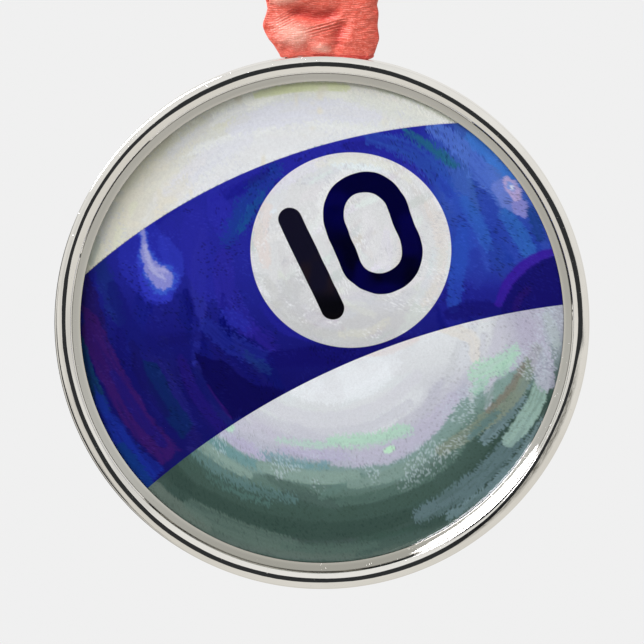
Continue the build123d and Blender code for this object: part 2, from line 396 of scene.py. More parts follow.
def brushed_material(name, dark, light, roughness):
    """Metal turned on a lathe: fine rings around the axis, faint smudges across them."""
    material, n = new_material(name)
    radius, around = n.polar()
    place, _, _, _ = n.place()
    rings = n.noise(n.join(n.times(radius, 14.0), n.times(around, 0.03)),
                    1.0, 3.0, 0.7)
    smudge = n.noise(place, 0.09, 4.0, 0.6)
    colour = n.mix(rings, dark, light)
    rough = n.plus(n.steps(smudge, 0.35, 0.65, 0.0, 0.12), roughness)
    n.surface(Base_Color=colour, Metallic=1.0, Roughness=rough, Anisotropic=0.6,
              Normal=n.bumped(rings, 0.008))
    return material


def foam_material():
    """Matt white foam with small open cells."""
    material, n = new_material("white_foam")
    place, _, _, _ = n.place()
    cells = n.add("ShaderNodeTexVoronoi", {"Vector": place, "Scale": 1.6}).outputs[0]
    colour = n.mix(cells, (0.62, 0.61, 0.58), (0.82, 0.81, 0.78))
    n.surface(Base_Color=colour, Roughness=0.9, Normal=n.bumped(cells, 0.15))
    return material


def film_material():
    """Clear glossy film: transparent, with reflections that grow at a slant."""
    material, n = new_material("clear_film")
    place, _, _, _ = n.place()
    ripple = n.bumped(n.noise(place, 0.12, 1.0), 0.02)
    clear = n.add("ShaderNodeBsdfTransparent", {0: (0.985, 0.99, 0.985)})
    shine = n.add("ShaderNodeBsdfGlossy", {"Color": (1, 1, 1), "Roughness": 0.03, "Normal": ripple})
    outside = n.calc("SUBTRACT", 1.0, n.add("ShaderNodeNewGeometry").outputs["Backfacing"])
    amount = n.times(n.add("ShaderNodeFresnel", {"IOR": 1.45}).outputs[0], outside)
    mixed = n.add("ShaderNodeMixShader", {0: amount, 1: clear.outputs[0], 2: shine.outputs[0]})
    n.add("ShaderNodeOutputMaterial", {0: mixed.outputs[0]})
    return material


def print_material():
    """Printed paper. The painted layers are stored in the mesh; their borders are drawn here
    from stored distances, so that they stay sharp."""
    material, n = new_material("printed_picture")
    place, _, _, _ = n.place()
    border = 0.045
    colour = n.mix(n.steps(n.read("band_edge"), -border, border),
                   n.read("pale_paint", "Color"), n.read("blue_paint", "Color"))
    colour = n.mix(n.steps(n.read("disc_edge"), -border, border),
                   colour, n.read("disc_paint", "Color"))
    colour = n.mix(n.steps(n.read("ink_edge"), -border, border),
                   colour, n.read("ink_paint", "Color"))
    speck = n.steps(n.noise(place, 3.4, 2.0, 0.7), 0.25, 0.75, 0.94, 1.05)
    paper = n.steps(n.noise(place, 9.0, 1.0), 0.2, 0.8, 0.985, 1.015)
    shade = n.times(speck, paper)
    colour = n.mix(1.0, colour, n.join(shade, shade, shade), "MULTIPLY")
    n.surface(Base_Color=colour, Roughness=0.55, Specular_IOR_Level=0.0)
    return material


def satin_material():
    """Woven satin: fine ribs across the ribbon, broken into short threads, with a soft sheen."""
    material, n = new_material("coral_satin")
    along, across = n.read("along"), n.read("across")
    place, _, _, _ = n.place()
    wander = n.times(n.noise(place, 0.5, 2.0), 0.9)
    phase = n.times(n.plus(along, wander), TURN / 0.30)
    ribs = n.calc("SINE", phase)
    threads = n.noise(n.join(n.times(along, 2.8), n.times(across, 1.1)),
                      1.0, 2.0, 0.65)
    broken = n.steps(threads, 0.35, 0.65)
    weave = n.times(ribs, broken)
    warp = n.noise(n.join(n.times(along, 0.25), n.times(across, 9.0)), 1.0, 2.0)
    glint = n.noise(n.join(n.times(along, 5.5), n.times(across, 3.4)), 1.0, 2.0, 0.7)
    colour = n.mix(n.steps(threads, 0.3, 0.7), (0.62, 0.085, 0.052), (0.76, 0.145, 0.098))
    # Painted shade where the cloth sinks or turns away, painted highlight where it rises or catches the
    # light
    fold = n.read("fold")
    colour = n.mix(n.steps(fold, -0.05, -1.0, 0.0, 0.95), colour, (0.52, 0.038, 0.027))
    colour = n.mix(n.steps(fold, 0.05, 1.0, 0.0, 0.80), colour, (1.0, 0.50, 0.39))
    # Painted highlight on the crests of the ribs
    colour = n.mix(n.steps(weave, -0.1, 0.9, 0.0, 0.42), colour, (0.88, 0.28, 0.21))
    # Painted glints, more of them where the cloth is lit, and painted dark specks of shade
    glow = n.steps(fold, -0.3, 0.9, 0.15, 0.9)
    colour = n.mix(n.times(n.steps(glint, 0.56, 0.66), glow), colour, (1.0, 0.62, 0.53))
    colour = n.mix(n.steps(glint, 0.40, 0.32, 0.0, 0.35), colour, (0.45, 0.03, 0.02))
    height = n.plus(n.times(weave, 0.5), n.times(warp, 0.25))
    n.surface(Base_Color=colour, Roughness=n.steps(threads, 0.2, 0.8, 0.34, 0.50),
              Specular_IOR_Level=0.55, Specular_Tint=(1.0, 0.72, 0.66), Anisotropic=0.4,
              Sheen_Weight=0.35, Sheen_Roughness=0.4, Sheen_Tint=(1.0, 0.55, 0.48),
              Normal=n.bumped(height, 0.05, 0.9))
    return material


# ---------------------------------------------------------------- the painted picture

def rgb(red, green, blue):
    """A display colour, each channel from 0 to 255, as shares of one."""
    return np.array((red, green, blue), float) / 255


def to_linear(colour):
    """Display colours as the linear light that materials work in."""
    colour = np.clip(colour, 0, 1)
    return np.where(colour <= 0.04045, colour / 12.92, ((colour + 0.055) / 1.055) ** 2.4)


class Painting:
    """One painted layer over a set of points, built up from washes and brush strokes."""

    def __init__(self, x, z, base, seed):
        self.x, self.z = x, z
        self.colour = np.tile(base, (len(x), 1))
        self.random = np.random.default_rng(seed)
        self.grain = Grain(seed + 1)
        self.speck = self.random.random(len(x))

    def wash(self, colour, cover):
        """Blends a colour in, by cover from 0 to 1 at each point."""
        self.colour += (colour - self.colour) * np.clip(cover, 0, 1)[:, None]

    def gradient(self, value, stops):
        """Sets the colour from a value at each point, by stops of (value, colour)."""
        places = [place for place, _ in stops]
        for channel in range(3):
            self.colour[:, channel] = np.interp(value, places, [c[channel] for _, c in stops])

    def stroke(self, path, width, colour, strength=0.9, ragged=0.12, streaks=0.3, spray=0.0,
               taper=0.3):
        """A brush stroke along a path: ragged edges, streaks along it and sprayed borders."""
        rows = np.array(path, float)
        if len(rows) > 2:
            rows = smooth_rows(rows, 5 * len(rows))
        reach = width * 0.75 + spray
        near = np.flatnonzero((self.x > rows[:, 0].min() - reach) & (self.x < rows[:, 0].max() + reach)
                              & (self.z > rows[:, 1].min() - reach) & (self.z < rows[:, 1].max() + reach))
        if not len(near):
            return
        x, z = self.x[near], self.z[near]
        best = np.full(len(near), 1e9)
        along, side = np.zeros(len(near)), np.zeros(len(near))
        travelled = 0.0
        for start, end in zip(rows[:-1], rows[1:]):
            run = end - start
            length = math.hypot(*run)
            if length < 1e-6:
                continue
            run = run / length
            forward = np.clip((x - start[0]) * run[0] + (z - start[1]) * run[1], 0, length)
            dx, dz = x - start[0] - run[0] * forward, z - start[1] - run[1] * forward
            distance = np.hypot(dx, dz)
            closer = distance < best
            best = np.where(closer, distance, best)
            along = np.where(closer, travelled + forward, along)
            side = np.where(closer, np.sign(dx * run[1] - dz * run[0]) * distance, side)
            travelled += length
        middle = along / max(travelled, 1e-6)
        half = width / 2 * (1 - taper * (2 * middle - 1) ** 2)
        seed = self.random.random() * 90
        edge = (self.grain.at(x + seed, z, 0.5) - 0.5) * ragged * width
        if spray:
            edge = edge + (self.speck[near] - 0.5) * spray
        cover = ease(half + 0.1, half - 0.1, best + edge)
        bristle = self.grain.at(side + seed, along, 0.22, 3.5)
        cover = cover * (1 - streaks * ease(0.5, 0.75, bristle))
        self.colour[near] += (colour - self.colour[near]) * (cover * strength)[:, None]

    def strokes(self, *rows):
        """Brush strokes one after another. Each row holds the arguments of one stroke."""
        for row in rows:
            self.stroke(*row)

    def arcs(self, centre, *rows):
        """Strokes along arcs about a centre. Each row starts with the arc's radius and angles."""
        for radius, start, end, *brush in rows:
            self.stroke(arc(centre, radius, start, end), *brush)

    def drop(self, path, tip_radius, foot_radius, colour, strength=0.95, ragged=0.2):
        """A drop along a path: it widens from its tip to its round foot."""
        rows = smooth_rows(path, 40)
        inside = np.full(len(self.x), -9.0)
        for share, (x, z) in zip(np.linspace(0, 1, len(rows)), rows):
            radius = tip_radius + (foot_radius - tip_radius) * share ** 1.4
            inside = np.maximum(inside, radius - np.hypot(self.x - x, self.z - z))
        edge = (self.grain.at(self.x, self.z, 0.5) - 0.5 + (self.speck - 0.5) * 0.8) * ragged
        self.wash(colour, ease(-0.08, 0.08, inside + edge) * strength)

    def patch(self, corners, colour, strength=0.9, ragged=0.25, spray=0.0, streaks=0.0, lean=0.0):
        """A flat patch with the given corners: wavy borders, sprayed edges, streaks along lean."""
        rows = np.array(corners, float)
        inside = np.zeros(len(self.x), bool)
        distance = np.full(len(self.x), 99.0)
        for start, end in zip(rows, np.roll(rows, -1, 0)):
            distance = np.minimum(distance, distance_to_line(self.x, self.z, start, end))
            crosses = (start[1] > self.z) != (end[1] > self.z)
            rise = end[1] - start[1] if end[1] != start[1] else 1e-9
            at = start[0] + (self.z - start[1]) / rise * (end[0] - start[0])
            inside ^= crosses & (self.x < at)
        signed = np.where(inside, distance, -distance)
        signed = signed + (self.grain.at(self.x, self.z, 0.9) - 0.5) * ragged + (self.speck - 0.5) * spray
        cover = ease(-0.1, 0.1, signed) * strength
        if streaks:
            along = self.x * math.cos(lean) + self.z * math.sin(lean)
            side = self.z * math.cos(lean) - self.x * math.sin(lean)
            cover = cover * (1 - streaks * ease(0.5, 0.75, self.grain.at(side + 31, along, 0.25, 3.0)))
        self.wash(colour, cover)

    def dabs(self, count, length, width, heading, jitter, strength=0.7, inside=None, spray=0.2):
        """Short strokes, each in the colour already under its start, made a little lighter or
        darker. heading(x, z) is the stroke's direction."""
        spots = np.arange(len(self.x)) if inside is None else np.flatnonzero(inside)
        for _ in range(count):
            spot = self.random.choice(spots)
            x, z = self.x[spot], self.z[spot]
            angle = heading(x, z) + self.random.normal(0, 0.18)
            half = self.random.uniform(*length) / 2
            bend = self.random.normal(0, 0.08) * half
            dx, dz = math.cos(angle), math.sin(angle)
            path = [(x - dx * half, z - dz * half), (x - dz * bend, z + dx * bend),
                    (x + dx * half, z + dz * half)]
            shift = self.random.normal(0, jitter) + self.random.normal(0, jitter * 0.35, 3)
            colour = np.clip(self.colour[spot] + shift, 0, 1)
            self.stroke(path, self.random.uniform(*width), colour, strength, 0.25, 0.45, spray, 0.6)


def tangent_about(centre_x, centre_z):
    """Heading along circles about a point."""
    return lambda x, z: math.atan2(z - centre_z, x - centre_x) + math.pi / 2


def arc(centre, radius, start, end):
    """Points on an arc. Angles are degrees clockwise from straight up."""
    angles = np.radians(np.linspace(start, end, 5))
    return [(centre[0] + radius * math.sin(a), centre[1] + radius * math.cos(a)) for a in angles]


# Borders of the painted ball: two large circles bound the band, an ellipse bounds its disc
BAND_TOP_CENTRE, BAND_TOP_RADIUS = (22.4, -55.0), 82.45
BAND_LOW_CENTRE, BAND_LOW_RADIUS = (45.8, -103.2), 106.4
DISC_CENTRE, DISC_HALF_WIDTH, DISC_HALF_HEIGHT = (3.95, 9.95), 13.75, 13.4
SHADE_CENTRE = (0.5, 2.5)
# Numerals: each is a rounded stroke about a straight line
ONE_TOP, ONE_FOOT, ONE_HALF_STROKE = (-4.4, 14.2), (1.45, 2.0), 1.6
ZERO_TOP, ZERO_FOOT, ZERO_RADIUS, ZERO_HALF_STROKE = (5.95, 14.9), (7.95, 9.8), 4.43, 1.40


def distance_to_line(x, z, start, end):
    """Distance of each point from a straight line with round ends."""
    run_x, run_z = end[0] - start[0], end[1] - start[1]
    t = np.clip(((x - start[0]) * run_x + (z - start[1]) * run_z) / (run_x ** 2 + run_z ** 2), 0, 1)
    return np.hypot(x - start[0] - run_x * t, z - start[1] - run_z * t)


def picture_edges(x, z):
    """Distances inside the borders of the picture, positive inside, and inside the band's top."""
    top = BAND_TOP_RADIUS - np.hypot(x - BAND_TOP_CENTRE[0], z - BAND_TOP_CENTRE[1])
    low = np.hypot(x - BAND_LOW_CENTRE[0], z - BAND_LOW_CENTRE[1]) - BAND_LOW_RADIUS
    disc = 1 - np.hypot((x - DISC_CENTRE[0]) / DISC_HALF_WIDTH, (z - DISC_CENTRE[1]) / DISC_HALF_HEIGHT)
    wobble = (Grain(5).at(x, z, 1.6) - 0.5) * 0.22
    one = ONE_HALF_STROKE - distance_to_line(x, z, ONE_TOP, ONE_FOOT) + 0.4 * wobble
    ring = np.abs(distance_to_line(x, z, ZERO_TOP, ZERO_FOOT) - ZERO_RADIUS)
    zero = ZERO_HALF_STROKE - ring + wobble
    return {"band_edge": np.minimum(top, low), "disc_edge": disc * DISC_HALF_HEIGHT,
            "ink_edge": np.maximum(one, zero)}, top


def paint_pale(x, z, top):
    """The ball's white: the cap above the band, and the shaded belly below it."""
    p = Painting(x, z, rgb(222, 225, 225), 11)
    from_x, from_z = x - SHADE_CENTRE[0], z - SHADE_CENTRE[1]
    radius = np.hypot(from_x, from_z)
    angle = np.degrees(np.arctan2(from_x, -from_z))
    reach = np.hypot(x, z)
    # Belly: darker outwards in crisp steps, and lighter again towards the right
    sag = 2.1 * bump(angle, 30, 22) + 1.6 * bump(angle, -34, 15)
    depth = radius - sag - ease(50, 84, angle) * 8.5
    depth = depth + (p.grain.at(x, z, 2.4) - 0.5) * 0.5 + (p.speck - 0.5) * 0.35
    p.gradient(depth, [
        (9, rgb(221, 225, 228)), (14.6, rgb(214, 218, 221)), (17.6, rgb(204, 207, 213)),
        (17.9, rgb(193, 195, 206)), (19.6, rgb(186, 188, 201)), (21.6, rgb(176, 179, 195)),
        (21.9, rgb(129, 156, 152)), (24.0, rgb(124, 150, 144)), (24.3, rgb(101, 126, 119)),
        (25.9, rgb(90, 115, 107)), (26.2, rgb(71, 94, 87)), (28.6, rgb(65, 87, 80)),
        (28.9, rgb(58, 79, 72)), (32.0, rgb(60, 81, 75)), (33.4, rgb(78, 97, 90)),
        (34.6, rgb(92, 109, 102)), (37, rgb(98, 114, 110))])
    p.wash(rgb(178, 177, 194), ease(68, 86, angle) * ease(22, 26, radius) * 0.8)
    heading = tangent_about(*SHADE_CENTRE)
    belly = top > 0
    p.dabs(60, (7, 15), (0.9, 2.0), heading, 0.016, 0.7, belly & (radius > 19), 0.2)
    p.dabs(60, (6, 13), (1.2, 2.6), heading, 0.010, 0.7, belly & (radius < 20), 0.3)
    white, mint, lavender = rgb(229, 234, 238), rgb(172, 214, 190), rgb(181, 177, 203)
    sage, moss, forest = rgb(135, 160, 151), rgb(82, 107, 99), rgb(57, 78, 71)
    slate, teal = rgb(100, 123, 129), rgb(108, 148, 151)
    p.arcs(SHADE_CENTRE,
        (10.5, 205, 120, 4.6, white, 0.8, 0.1, 0.2, 0.8),
        (12.8, 200, 130, 2.0, rgb(232, 237, 241), 0.7, 0.1, 0.3, 0.6))
    p.strokes(
        ([(4.6, -3.9), (8.5, -3.7), (12.8, -2.2)], 1.7, rgb(221, 212, 210), 0.7, 0.1, 0.3),
        ([(16, -0.6), (20.3, -1.9), (21, -5.0)], 1.8, rgb(222, 218, 210), 0.7, 0.2, 0.3))
    p.arcs(SHADE_CENTRE,
        (15.9, 222, 128, 2.2, rgb(209, 211, 218), 0.8, 0.06, 0.2, 0.2),
        (17.9, 215, 140, 1.8, rgb(200, 202, 211), 0.75, 0.06, 0.2, 0.3),
        (20.9, 196, 172, 1.6, lavender, 0.85, 0.1, 0.25, 0.9),
        (22.6, 226, 200, 1.5, lavender, 0.9, 0.1, 0.25, 1.1),
        (21.9, 168, 126, 2.6, rgb(186, 184, 203), 0.85, 0.08, 0.25, 0.7),
        (24.2, 229, 202, 1.4, teal, 0.85, 0.06, 0.2, 0.5),
        (22.3, 202, 180, 1.2, rgb(114, 153, 160), 0.8, 0.15, 0.2, 1.4),
        (25.8, 236, 204, 1.5, sage, 0.9, 0.05, 0.15, 0.1),
        (23.9, 202, 170, 1.9, sage, 0.9, 0.05, 0.12, 0.1),
        (25.1, 172, 148, 1.7, rgb(127, 152, 144), 0.85, 0.05, 0.12, 0.15),
        (27.3, 243, 190, 1.4, rgb(94, 126, 128), 0.7, 0.08, 0.3, 1.4),
        (27.4, 176, 140, 1.6, moss, 0.85, 0.05, 0.15, 0.2),
        (29.3, 232, 150, 2.4, rgb(66, 89, 81), 0.8, 0.06, 0.2, 0.3),
        (31.3, 214, 158, 2.6, forest, 0.85, 0.06, 0.15, 0.2),
        (28.6, 214, 196, 0.7, rgb(86, 120, 116), 0.6, 0.3, 0.4, 1.0),
        (34.6, 243, 208, 2.0, rgb(98, 113, 105), 0.9, 0.06, 0.25, 0.2),
        (33.4, 214, 188, 2.6, rgb(92, 112, 104), 0.8, 0.06, 0.3, 0.4),
        (33.8, 190, 168, 1.4, rgb(82, 104, 96), 0.7, 0.08, 0.3, 0.4),
        (36.4, 236, 200, 1.4, rgb(118, 126, 120), 0.6, 0.08, 0.3, 0.2),
        (36.0, 196, 168, 1.2, rgb(72, 96, 88), 0.7, 0.1, 0.3, 0.4),
        (31.9, 156, 120, 2.9, slate, 0.8, 0.06, 0.25, 0.8),
        (33.9, 150, 118, 1.3, rgb(112, 136, 142), 0.8, 0.06, 0.25, 0.5))
    p.strokes(
        ([(25.6, -16.4), (28.6, -12.4), (30.6, -7.4)], 2.5, rgb(152, 180, 170), 0.9, 0.08, 0.2, 0.2),
        ([(22.5, -16.0), (26.4, -11.2), (28.4, -7.2)], 1.9, rgb(122, 145, 154), 0.8, 0.12, 0.25, 0.9),
        ([(29.4, -3.6), (26.6, -9.6), (21.4, -14.4), (16.4, -17.6)],
         2.2, rgb(128, 140, 124), 0.85, 0.1, 0.25, 0.4),
        ([(27.6, -5.8), (25.6, -9.4), (22.8, -12.2)], 1.0, rgb(126, 118, 108), 0.7, 0.15, 0.3, 0.3),
        ([(20.4, -15.8), (24.0, -12.4)], 1.2, rgb(88, 120, 124), 0.7, 0.15, 0.3, 0.6),
        ([(21.0, -7.0), (24.6, -5.6), (26.2, -4.2)], 2.7, mint, 0.85, 0.25, 0.25, 0.8),
        ([(20.9, -9.3), (22.3, -8.2)], 1.8, rgb(163, 206, 184), 0.85, 0.3, 0.3, 0.5),
        ([(1.4, -16.4), (6.6, -16.1), (11.8, -14.9)], 1.9, mint, 0.8, 0.25, 0.3, 0.8),
        ([(-6.0, -16.2), (-1.0, -16.8), (2.0, -16.6)], 0.9, rgb(178, 212, 196), 0.8, 0.3, 0.3, 0.7),
        ([(8.8, -17.6), (9.8, -17.3)], 1.1, rgb(186, 230, 196), 0.9, 0.4, 0.2, 0.2),
        ([(-13.1, -14.3), (-12.3, -14.8)], 1.1, rgb(182, 226, 198), 0.9, 0.4, 0.2, 0.2),
        ([(27.6, -0.4), (29.8, -4.4), (30.8, -8.4)], 3.4, rgb(178, 175, 195), 0.75, 0.15, 0.25, 0.6),
        ([(30.8, 0.9), (32.2, -3.0)], 1.6, rgb(176, 190, 188), 0.5, 0.2, 0.3, 0.4))
    p.wash(rgb(212, 214, 218), ease(0.55, 0.8, p.grain.at(x, z, 1.5)) * ease(17, 14, radius) * belly * 0.3)
    fleck = (p.speck > 0.93) & belly
    p.wash(p.colour * 0.86, fleck * ease(16, 22, radius) * 0.8)
    p.wash(rgb(196, 206, 216), ((p.speck < 0.28) & belly) * ease(0.45, 0.6, p.grain.at(x, z, 2.6))
           * ease(19.4, 20.6, depth) * ease(26.5, 24.5, depth) * 0.55)
    # Cap: whitest beside the band, greener and greyer towards the rim, then painted light along the rim
    # itself, against the lip's shadow
    cap = Painting(x, z, rgb(224, 227, 226), 12)
    cap.gradient(reach, [(0, rgb(227, 230, 231)), (26, rgb(223, 226, 227)), (29.5, rgb(218, 221, 220)),
                         (31.5, rgb(218, 221, 212)), (32.4, rgb(228, 230, 221)),
                         (33.4, rgb(246, 248, 240))])
    cap.wash(rgb(216, 212, 195), ease(-12, -24, x) * ease(25, 30, reach) * 0.6)
    axis = tangent_about(0, 0)
    upper = top < 0.6
    cap.dabs(110, (8, 18), (1.2, 3.0), axis, 0.009, 0.8, upper, 0.4)
    cream, lilac = rgb(217, 217, 201), rgb(213, 215, 229)
    cap.arcs((0, 0),
        (29.2, -24, 14, 3.2, lilac, 0.6, 0.1, 0.3, 0.8),
        (27.2, -50, -22, 2.6, rgb(217, 219, 230), 0.5, 0.1, 0.3, 0.8),
        (31.3, -46, -20, 1.6, rgb(210, 213, 222), 0.5, 0.1, 0.4, 0.8),
        (32.2, -62, -30, 1.3, cream, 0.55, 0.2, 0.4, 0.8),
        (26.9, -62, -44, 1.8, rgb(216, 214, 200), 0.5, 0.3, 0.4, 1.2))
    cap.strokes(
        ([(-28.2, 10.2), (-27.4, 13.6), (-25.6, 16.4)], 1.2, rgb(222, 223, 204), 0.8, 0.1, 0.3),
        ([(-30.3, 11.4), (-29.4, 14.6), (-27.6, 17.6)], 1.6, rgb(203, 206, 204), 0.7, 0.1, 0.3),
        ([(-31.6, 8.2), (-30.8, 11.6)], 1.2, rgb(186, 196, 192), 0.7, 0.2, 0.3))
    cap.arcs((0, 0),
        (32.4, -16, 6, 1.3, rgb(214, 221, 176), 0.85, 0.1, 0.25, 0.2),
        (31.0, 8, 30, 2.2, rgb(215, 219, 212), 0.6, 0.1, 0.3, 0.8),
        (33.1, 14, 34, 1.1, rgb(203, 207, 190), 0.7, 0.2, 0.3, 0.4))
    warm = ease(0.62, 0.85, cap.grain.at(x, z, 1.1)) * ease(0.45, 0.7, cap.grain.at(x + 40, z, 5.0))
    cap.wash(rgb(222, 219, 206), warm * 0.8)
    cap.wash(rgb(206, 209, 219), (cap.speck > 0.9) * ease(0.5, 0.7, cap.grain.at(x, z + 30, 4.0)) * 0.6)
    p.colour = np.where((top < 0)[:, None], cap.colour, p.colour)
    return p.colour


def paint_blue(x, z):
    """The blue band: royal blue on the left, azure on the right, navy and purple low down."""
    p = Painting(x, z, rgb(34, 34, 148), 21)
    royal, purple, maroon = rgb(41, 42, 164), rgb(46, 34, 150), rgb(54, 24, 102)
    height = z + 0.12 * (x + 10) * (x < -10)
    p.gradient(height, [(-24, rgb(22, 20, 98)), (-8, rgb(19, 18, 102)), (-3, rgb(24, 25, 118)),
                        (3, rgb(31, 35, 140)), (9, rgb(37, 40, 154)), (24, rgb(38, 40, 158))])
    p.wash(rgb(44, 70, 172), ease(12, 17, x) * ease(3.5, 9, z))
    p.wash(rgb(66, 102, 186), ease(14, 19, x) * ease(12, 18, z) * 0.8)
    left = x < -8
    round_ball = tangent_about(0, 0)
    p.dabs(80, (5, 14), (1.2, 2.8), round_ball, 0.022, 0.75, left, 0.25)
    p.dabs(70, (4, 10), (1.2, 2.6), lambda a, b: -1.2, 0.030, 0.75, x > 12, 0.4)
    # Left: royal field, the highlight's halo, rim shadows
    p.strokes(
        ([(-17.5, 14.8), (-17.2, 9.5), (-15.5, 4.5)], 4.2, royal, 0.65, 0.1, 0.2, 0.3),
        ([(-14.6, 17.0), (-13.4, 12.8)], 3.4, rgb(43, 44, 170), 0.7, 0.08, 0.2),
        ([(-20.8, 13.2), (-20.0, 8.0)], 2.4, rgb(38, 40, 158), 0.6, 0.1, 0.2),
        ([(-13.6, 8.8), (-13.0, 3.6), (-10.0, -1.0)], 3.2, rgb(46, 41, 160), 0.6, 0.2, 0.3, 0.5),
        ([(-6.4, 20.8), (-9.6, 17.4), (-12.8, 11.6)], 2.6, rgb(27, 62, 148), 0.75, 0.3, 0.35, 1.2),
        ([(-8.2, 17.6), (-11.2, 12.6)], 1.3, rgb(26, 84, 146), 0.7, 0.4, 0.3, 0.8),
        ([(-10.0, 19.2), (-7.8, 20.4)], 1.2, rgb(30, 38, 128), 0.7, 0.3, 0.3, 0.8),
        ([(-24.8, 12.6), (-24.4, 8.6), (-22.6, 4.8)], 7.0, rgb(40, 46, 170), 0.8, 0.06, 0.1, 0.3),
        ([(-21.6, 11.0), (-20.2, 7.6), (-21.6, 4.0)], 2.8, rgb(48, 58, 186), 0.7, 0.1, 0.2, 0.3),
        ([(-25.0, 8.6), (-23.6, 4.2), (-21.0, 3.4)], 1.6, rgb(52, 60, 196), 0.75, 0.1, 0.2, 0.3))
    drop_line = [(-24.5, 12.6), (-24.3, 9.8), (-23.4, 7.6), (-21.9, 6.0)]
    p.drop(drop_line, 0.6, 2.3, rgb(52, 66, 192), 0.75, 0.5)
    p.drop(drop_line, 0.40, 1.95, rgb(60, 96, 206), 0.8, 0.7)
    p.drop(drop_line, 0.22, 1.5, rgb(142, 144, 212), 0.95, 0.35)
    p.strokes(
        ([(-24.2, 10.6), (-23.8, 8.8), (-22.9, 7.0), (-21.4, 5.9)],
         0.8, rgb(184, 186, 224), 0.7, 0.25, 0.25, 0.3, 0.5),
        ([(-22.6, 7.4), (-21.2, 7.0)], 0.7, rgb(176, 176, 222), 0.8, 0.3, 0.3, 0.3),
        ([(-30.4, 8.4), (-29.0, 3.8), (-27.8, 0.4)], 2.4, rgb(25, 44, 122), 0.75, 0.2, 0.3, 0.6),
        ([(-32.7, 6.0), (-31.6, 2.0), (-30.4, -1.2)], 2.6, rgb(33, 22, 98), 0.85, 0.1, 0.2, 0.3),
        ([(-28.6, 4.8), (-26.4, -0.8), (-22.5, -3.6), (-16, -4.4)],
         2.4, rgb(20, 22, 110), 0.6, 0.1, 0.2, 0.4))
    p.patch([(-32.8, 2.2), (-31.0, 1.0), (-28.4, -3.8), (-26.2, -8.4), (-23.4, -13.0), (-19.4, -17.6),
             (-22.0, -19.6), (-25.6, -16.0), (-28.4, -12.0), (-30.8, -7.4), (-32.6, -2.6)], maroon,
            0.92, 0.5, 0.25, 0.3, -1.1)
    p.strokes(
        ([(-32.2, -0.6), (-31.0, -3.8), (-29.4, -7.4)], 1.5, rgb(46, 20, 98), 0.7, 0.3, 0.3, 0.6),
        ([(-33.2, -2.6), (-32.0, -7.2), (-29.8, -12.0)], 1.8, rgb(18, 58, 98), 0.9, 0.1, 0.2, 0.2))
    p.patch([(-31.2, -8.4), (-29.0, -11.8), (-25.8, -16.4), (-21.8, -20.2), (-24.0, -22.8), (-28.4, -17.8),
             (-31.4, -11.6)], rgb(24, 46, 150), 0.88, 0.5, 0.3, 0.35, -1.0)
    p.strokes(
        ([(-27.6, -17.4), (-24.0, -22.4)], 2.2, rgb(16, 54, 122), 0.85, 0.2, 0.2, 0.3),
        ([(-28.6, -7.0), (-25.4, -12.4), (-21.8, -16.8)], 1.6, rgb(28, 22, 112), 0.75, 0.1, 0.2, 0.2))
    p.patch([(-24.6, -5.2), (-22.6, -5.6), (-20.6, -9.6), (-17.6, -14.0), (-19.2, -16.0), (-21.4, -13.4),
             (-23.6, -9.4)], rgb(13, 36, 96), 0.92, 0.3, 0.15, 0.15, -1.1)
    p.strokes(
        ([(-26.0, -3.0), (-24.6, -7.6), (-21.4, -12.6)], 1.6, rgb(20, 18, 92), 0.7, 0.1, 0.2, 0.2),
        ([(-19.4, -5.0), (-17.0, -10.4), (-13.0, -15.4)], 1.7, rgb(34, 22, 116), 0.75, 0.1, 0.25, 0.3))
    p.patch([(-17.4, -4.2), (-13.4, -5.4), (-10.0, -8.2), (-5.0, -9.4), (-6.4, -11.6), (-12.2, -13.4),
             (-14.9, -9.8), (-16.4, -7.0)], rgb(12, 9, 80), 0.95, 0.4, 0.1, 0.1, -0.8)
    p.strokes(
        ([(-15.6, -8.6), (-14.4, -10.6), (-12.4, -13.2)], 0.28, rgb(60, 20, 108), 0.7, 0.2, 0.2),
        ([(-22.0, -2.6), (-17.0, -2.0), (-13.4, -1.0)], 1.6, rgb(18, 17, 96), 0.5, 0.2, 0.3, 0.8),
        ([(-15.6, -0.4), (-12.2, -3.2), (-7.6, -4.8)], 2.6, rgb(33, 44, 146), 0.75, 0.2, 0.3, 0.8),
        ([(-13.2, 1.2), (-10.4, -0.6)], 2.2, rgb(40, 46, 166), 0.7, 0.25, 0.3, 0.8),
        ([(-9.6, -1.0), (-6.8, -3.4)], 2.2, purple, 0.6, 0.25, 0.3, 1.0),
        ([(-10.2, -4.6), (-7.4, -6.6)], 1.4, rgb(26, 52, 120), 0.7, 0.3, 0.4, 0.8),
        ([(-6.6, -5.0), (2.0, -4.4), (12.6, -3.0)], 3.0, rgb(17, 13, 100), 0.7, 0.1, 0.2, 0.3),
        ([(-1.4, -2.2), (-5.4, -0.6), (-8.0, 2.4)], 1.5, rgb(34, 34, 152), 0.7, 0.1, 0.2, 0.2))
